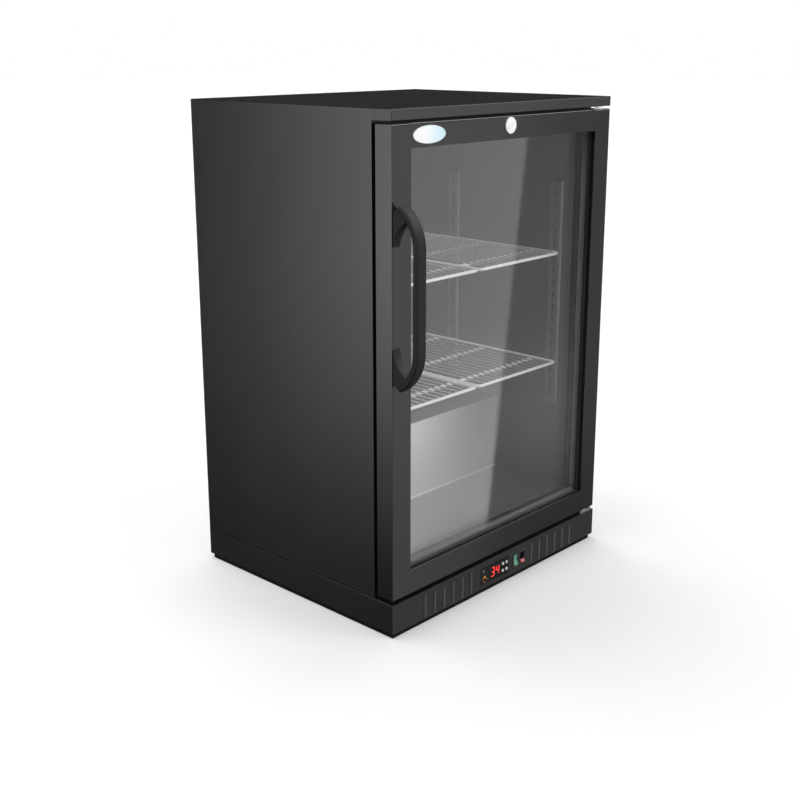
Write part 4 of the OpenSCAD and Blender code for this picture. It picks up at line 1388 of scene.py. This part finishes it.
@dataclass
class Door:
    """Framed double glass door with its gasket, bead, handle, badge and lock."""

    edge: float = 2.6 * MM
    narrow_share: float = 0.4
    bead_t: float = 0.4 * MM
    bead_d: float = 11.6 * MM
    lock_edge: float = 0.5 * MM
    plug_edge: float = 0.3 * MM
    gasket_w: float = 16 * MM
    # The badge's rim, from outside in: share of the half height, and height over the door.
    rim: tuple[tuple[float, float], ...] = (
        (1.0, 0.0), (1.0, 0.9 * MM), (0.985, 1.35 * MM), (0.96, 1.5 * MM), (0.93, 1.2 * MM),
        (0.93, 0.0))
    rim_overlap: float = 0.05
    dome_base: float = 1.0 * MM
    dome_rise: float = 0.7 * MM
    dome_levels: int = 8
    oval_steps: int = 72

    def build_frame(self) -> None:
        """Rounds the outer edges of the frame and leaves its flush joints closed."""
        top = edges("top front")
        members = {f"stile_{side}": edges(f"{side} front", "top front", "bottom front",
                                          f"top {side}", f"bottom {side}", f"{side} rear")
                   for side in ("left", "right")}
        members["rail_top"] = top
        members["rail_bottom"] = edges("bottom front")
        for node, rounded in members.items():
            rounded_copy(node, Rounding(self.edge, rounded, wide=top,
                                        narrow_share=self.narrow_share))

    def opening(self) -> tuple[Vector, Vector]:
        """The lowest and highest corners of the clear opening of the frame."""
        stile_low, stile_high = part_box("stile_left")
        low = Vector((stile_high.x, stile_low.y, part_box("rail_bottom")[1].z))
        high = Vector((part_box("stile_right")[0].x, stile_low.y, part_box("rail_top")[0].z))
        return low, high

    def build_bead(self) -> None:
        """Lines the recess in front of the glass with a dark rubber bead, whose front part is
        darkened further as painted shade.
        """
        low, high = self.opening()
        t = self.bead_t
        section = ((0.0, 1.8 * MM), (0.0, self.bead_d), (t * 1.4, self.bead_d), (t, 2.4 * MM),
                   (t * 0.5, 1.8 * MM))
        piece = Surround("glazing_bead", section, "bead_rubber").build(low, high)
        settle(piece, Body.DOOR, "rubber")

    def build_gasket(self) -> None:
        """Makes the bellows of the magnetic gasket where the plain seal is."""
        low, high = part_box("door_seal")
        deep = high.y - low.y
        wide = self.gasket_w
        section = ((0.0, 0.0), (0.0, 1.2 * MM), (1.6 * MM, 2.0 * MM), (0.6 * MM, 3.4 * MM),
                   (1.8 * MM, deep - 1.2 * MM), (2.6 * MM, deep), (wide - 3 * MM, deep),
                   (wide - 2.0 * MM, deep - 1.0 * MM), (wide - 3.4 * MM, 3.6 * MM),
                   (wide - 1.6 * MM, 2.4 * MM), (wide, 1.4 * MM), (wide, 0.0))
        piece = Surround("door_gasket", section, "rubber").build(low, high)
        settle(piece, Body.DOOR, "rubber", "door_seal")

    def build_badge(self) -> None:
        """Makes the plain oval badge: a pale rim round a domed plate."""
        low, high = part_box("badge")
        centre = (low + high) / 2
        half_w = (high.x - low.x) / 2
        half_h = (high.z - low.z) / 2

        def oval(shape: bmesh.types.BMesh, reach_x: float, reach_z: float,
                 out: float) -> list[bmesh.types.BMVert]:
            """Adds a ring of points at a height over the door."""
            angles = (2 * math.pi * i / self.oval_steps for i in range(self.oval_steps))
            return [shape.verts.new((centre.x + reach_x * math.cos(a), high.y - out,
                                     centre.z + reach_z * math.sin(a))) for a in angles]

        rim = bmesh.new()
        rings = []
        for share, out in self.rim:
            inset = (1.0 - share) * half_h
            rings.append(oval(rim, half_w - inset, half_h - inset, out))
        skin(rim, rings, closed=True)
        ring_piece = new_piece("badge_rim", rim, "badge_edge")
        smooth_round_faces(ring_piece.data)
        settle(ring_piece, Body.DOOR, "badge_enamel")
        plate = bmesh.new()
        outer_w = half_w - self.rim_overlap * half_h
        outer_h = half_h * (1.0 - self.rim_overlap)
        loops = [oval(plate, outer_w, outer_h, 0.0)]
        for level in range(self.dome_levels):
            share = math.cos(math.pi / 2 * level / self.dome_levels)
            out = self.dome_base + self.dome_rise * (1 - share ** 2)
            loops.append(oval(plate, outer_w * share, outer_h * share, out))
        skin(plate, loops, closed=False)
        for end in (loops[0], loops[-1]):
            plate.faces.new(end)
        piece = new_piece("badge_plate", plate, "badge_enamel")
        smooth_round_faces(piece.data)
        settle(piece, Body.DOOR, "badge_enamel", "badge")

    def build(self) -> None:
        """Makes the pieces of the door."""
        self.build_frame()
        self.build_bead()
        self.build_gasket()
        self.build_badge()
        rounded_copy("door_handle")
        rounded_copy("lock_case", Rounding(self.lock_edge))
        rounded_copy("lock_barrel", Rounding(self.plug_edge))


# ---------------------------------------------------------------- studio


@dataclass
class Camera:
    """The camera of the photograph."""

    place: tuple[float, float, float] = (-1.6345, -1.5041, 0.9949)
    azimuth: float = -46.864
    elevation: float = 14.972
    roll: float = -0.04
    focal_px: float = 1183.76
    centre_px: tuple[float, float] = (400.0, 357.15)
    sensor: float = 36.0

    def turn(self) -> Matrix:
        """The camera's rotation."""
        return (Matrix.Rotation(math.radians(self.azimuth), 3, "Z")
                @ Matrix.Rotation(math.radians(90.0 - self.elevation), 3, "X")
                @ Matrix.Rotation(math.radians(self.roll), 3, "Z"))

    def ray(self, pixel: tuple[float, float]) -> Vector:
        """The direction seen at a pixel of the photograph."""
        x = (pixel[0] - self.centre_px[0]) / self.focal_px
        y = (self.centre_px[1] - pixel[1]) / self.focal_px
        return (self.turn() @ Vector((x, y, -1.0))).normalized()

    def build(self) -> None:
        """Sets the camera up."""
        data = bpy.data.cameras.new("camera")
        data.sensor_width = self.sensor
        data.lens = self.focal_px / IMAGE_SIZE * self.sensor
        data.shift_x = (IMAGE_SIZE / 2 - self.centre_px[0]) / IMAGE_SIZE
        data.shift_y = (self.centre_px[1] - IMAGE_SIZE / 2) / IMAGE_SIZE
        camera = add_object("camera", data)
        camera.matrix_world = Matrix.Translation(self.place) @ self.turn().to_4x4()
        bpy.context.scene.camera = camera


@dataclass
class Studio:
    """Pale floor, soft lamps and the surroundings that gloss shows."""

    camera: Camera = field(default_factory=Camera)
    edge_px: tuple[tuple[float, float], tuple[float, float]] = ((527.0, 142.0), (486.0, 530.0))
    floor_half: float = 30.0
    floor_glow: float = 0.24
    floor_colour: float = 0.74
    ambient: float = 0.2
    front_dim: float = 0.26
    front_band: float = 0.54
    left_glow: float = 2.6
    overhead_glow: float = 4.0
    dark_room: float = 0.03
    # Spans over which each light that gloss shows eases in: by heading, or by height.
    front_span: tuple[float, float] = (0.5, 0.9)
    front_low: tuple[float, float] = (-1.0, -0.3)
    front_high: tuple[float, float] = (0.0, 0.2)
    dim_low: tuple[float, float] = (-0.43, -0.25)
    band_edge: tuple[float, float] = (-0.002, 0.002)
    left_span: tuple[float, float] = (0.59, 0.79)
    left_low: tuple[float, float] = (-0.45, -0.16)
    overhead_span: tuple[float, float] = (0.2, 0.6)

    def build_world(self) -> None:
        """White for the camera; for gloss a dark room with softboxes left, in front and above."""
        world = bpy.data.worlds.new("studio")
        bpy.context.scene.world = world
        world.use_nodes = True
        sheet = NodeSheet(world.node_tree)
        sheet.tree.nodes.clear()
        heading = sheet.node("ShaderNodeTexCoord", output="Generated")
        x, y, z = sheet.axes(heading)
        flat = (x * x + y * y + 0.0001) ** 0.5
        first, second = (self.camera.ray(px) for px in self.edge_px)
        mirrored = [Vector((d.x, -d.y, d.z)) for d in (first, second)]
        across = mirrored[0].cross(mirrored[1]).normalized()
        if across.y > 0:
            across = -across
        lit_side = x * across.x + y * across.y + z * across.z
        front = sheet.ease((x * 0.6 - y * 0.8) / flat, *self.front_span)
        low_fade = sheet.ease(z, *self.front_low)
        band = sheet.ease(lit_side, *self.band_edge)
        dim = sheet.ease(z, *self.dim_low) * self.front_dim
        high_fade = sheet.ease(z, *self.front_high, 1.0, 0.0)
        softbox = front * low_fade * high_fade * (dim + band * self.front_band)
        left = (sheet.ease((x * -1.0) / flat, *self.left_span) * sheet.ease(z, *self.left_low)
                * self.left_glow)
        overhead = (sheet.ease(z, *self.overhead_span)
                    * sheet.ease((x * 0.3 - y) / flat, *self.overhead_span) * self.overhead_glow)
        gloss = self.dark_room + softbox + left + overhead
        path = sheet.place("ShaderNodeLightPath", {}, {}).outputs
        seen = Wire(sheet, path["Is Camera Ray"]) + Wire(sheet, path["Is Transmission Ray"])
        glossy = Wire(sheet, path["Is Glossy Ray"]) * (1.0 - seen)
        strength = seen + glossy * gloss + (1.0 - seen - glossy).at_least(0.0) * self.ambient
        shade = sheet.node("ShaderNodeBackground", {},
                           {"Color": (1.0, 1.0, 1.0, 1.0), "Strength": strength})
        out = sheet.tree.nodes.new("ShaderNodeOutputWorld")
        sheet.feed(out.inputs["Surface"], shade)

    def build_floor(self) -> None:
        """A pale floor that shows white with the object's soft shadow."""
        shape = bmesh.new()
        bmesh.ops.create_grid(shape, x_segments=1, y_segments=1, size=self.floor_half)
        sheet = SurfaceSheet("studio floor")
        path = sheet.place("ShaderNodeLightPath", {}, {}).outputs
        seen = (Wire(sheet, path["Is Camera Ray"]) + Wire(sheet, path["Is Glossy Ray"])
                + Wire(sheet, path["Is Transmission Ray"]))
        tone = self.floor_colour * (0.99 + sheet.noise(sheet.position(), 1.5) * 0.02)
        pale = sheet.node("ShaderNodeBsdfDiffuse", {}, {"Color": sheet.tint((1.0, 1.0, 1.0), tone)})
        glow = sheet.node("ShaderNodeEmission", {}, {"Color": (1.0, 1.0, 1.0, 1.0),
                                                     "Strength": seen * self.floor_glow})
        material = sheet.close(sheet.node("ShaderNodeAddShader", {}, {0: pale, 1: glow}))
        floor = mesh_object("floor", shape, material)
        floor.visible_glossy = False
        floor.visible_diffuse = False

    def sun(self, name: str, heading: tuple[float, float, float], strength: float,
            spread: float) -> None:
        """Adds a large soft lamp far away.

        Args:
            name: the lamp's name.
            heading: where it stands, seen from the object.
            strength: its strength.
            spread: how wide it looks, in degrees.
        """
        data = bpy.data.lights.new(name, "SUN")
        data.energy = strength
        data.angle = math.radians(spread)
        lamp = add_object(name, data)
        lamp.rotation_euler = Vector(heading).to_track_quat("Z", "Y").to_euler()
        lamp.visible_glossy = False

    def build(self) -> None:
        """Sets up the camera, the floor, the lamps and the surroundings."""
        self.camera.build()
        self.build_world()
        self.build_floor()
        self.sun("front softbox", (0.6, -1.0, 0.12), 3.1, 40.0)
        self.sun("top softbox", (0.0, 0.42, 1.0), 2.9, 76.0)
        scene = bpy.context.scene
        scene.view_settings.view_transform = "Standard"
        scene.cycles.transparent_max_bounces = 24
        scene.cycles.use_denoising = True


def main() -> None:
    """Builds the looks of the fridge, one sub-assembly after the other."""
    logging.basicConfig(level=logging.INFO, format="%(name)s: %(message)s")
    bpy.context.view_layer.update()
    Studio().build()
    dress_nodes()
    for part in (Casing(), Screws(), Lining(), Shelving(), KickFront(), Door()):
        part.build()
        log.info("%s done", type(part).__name__)


if __name__ == "__main__":
    main()
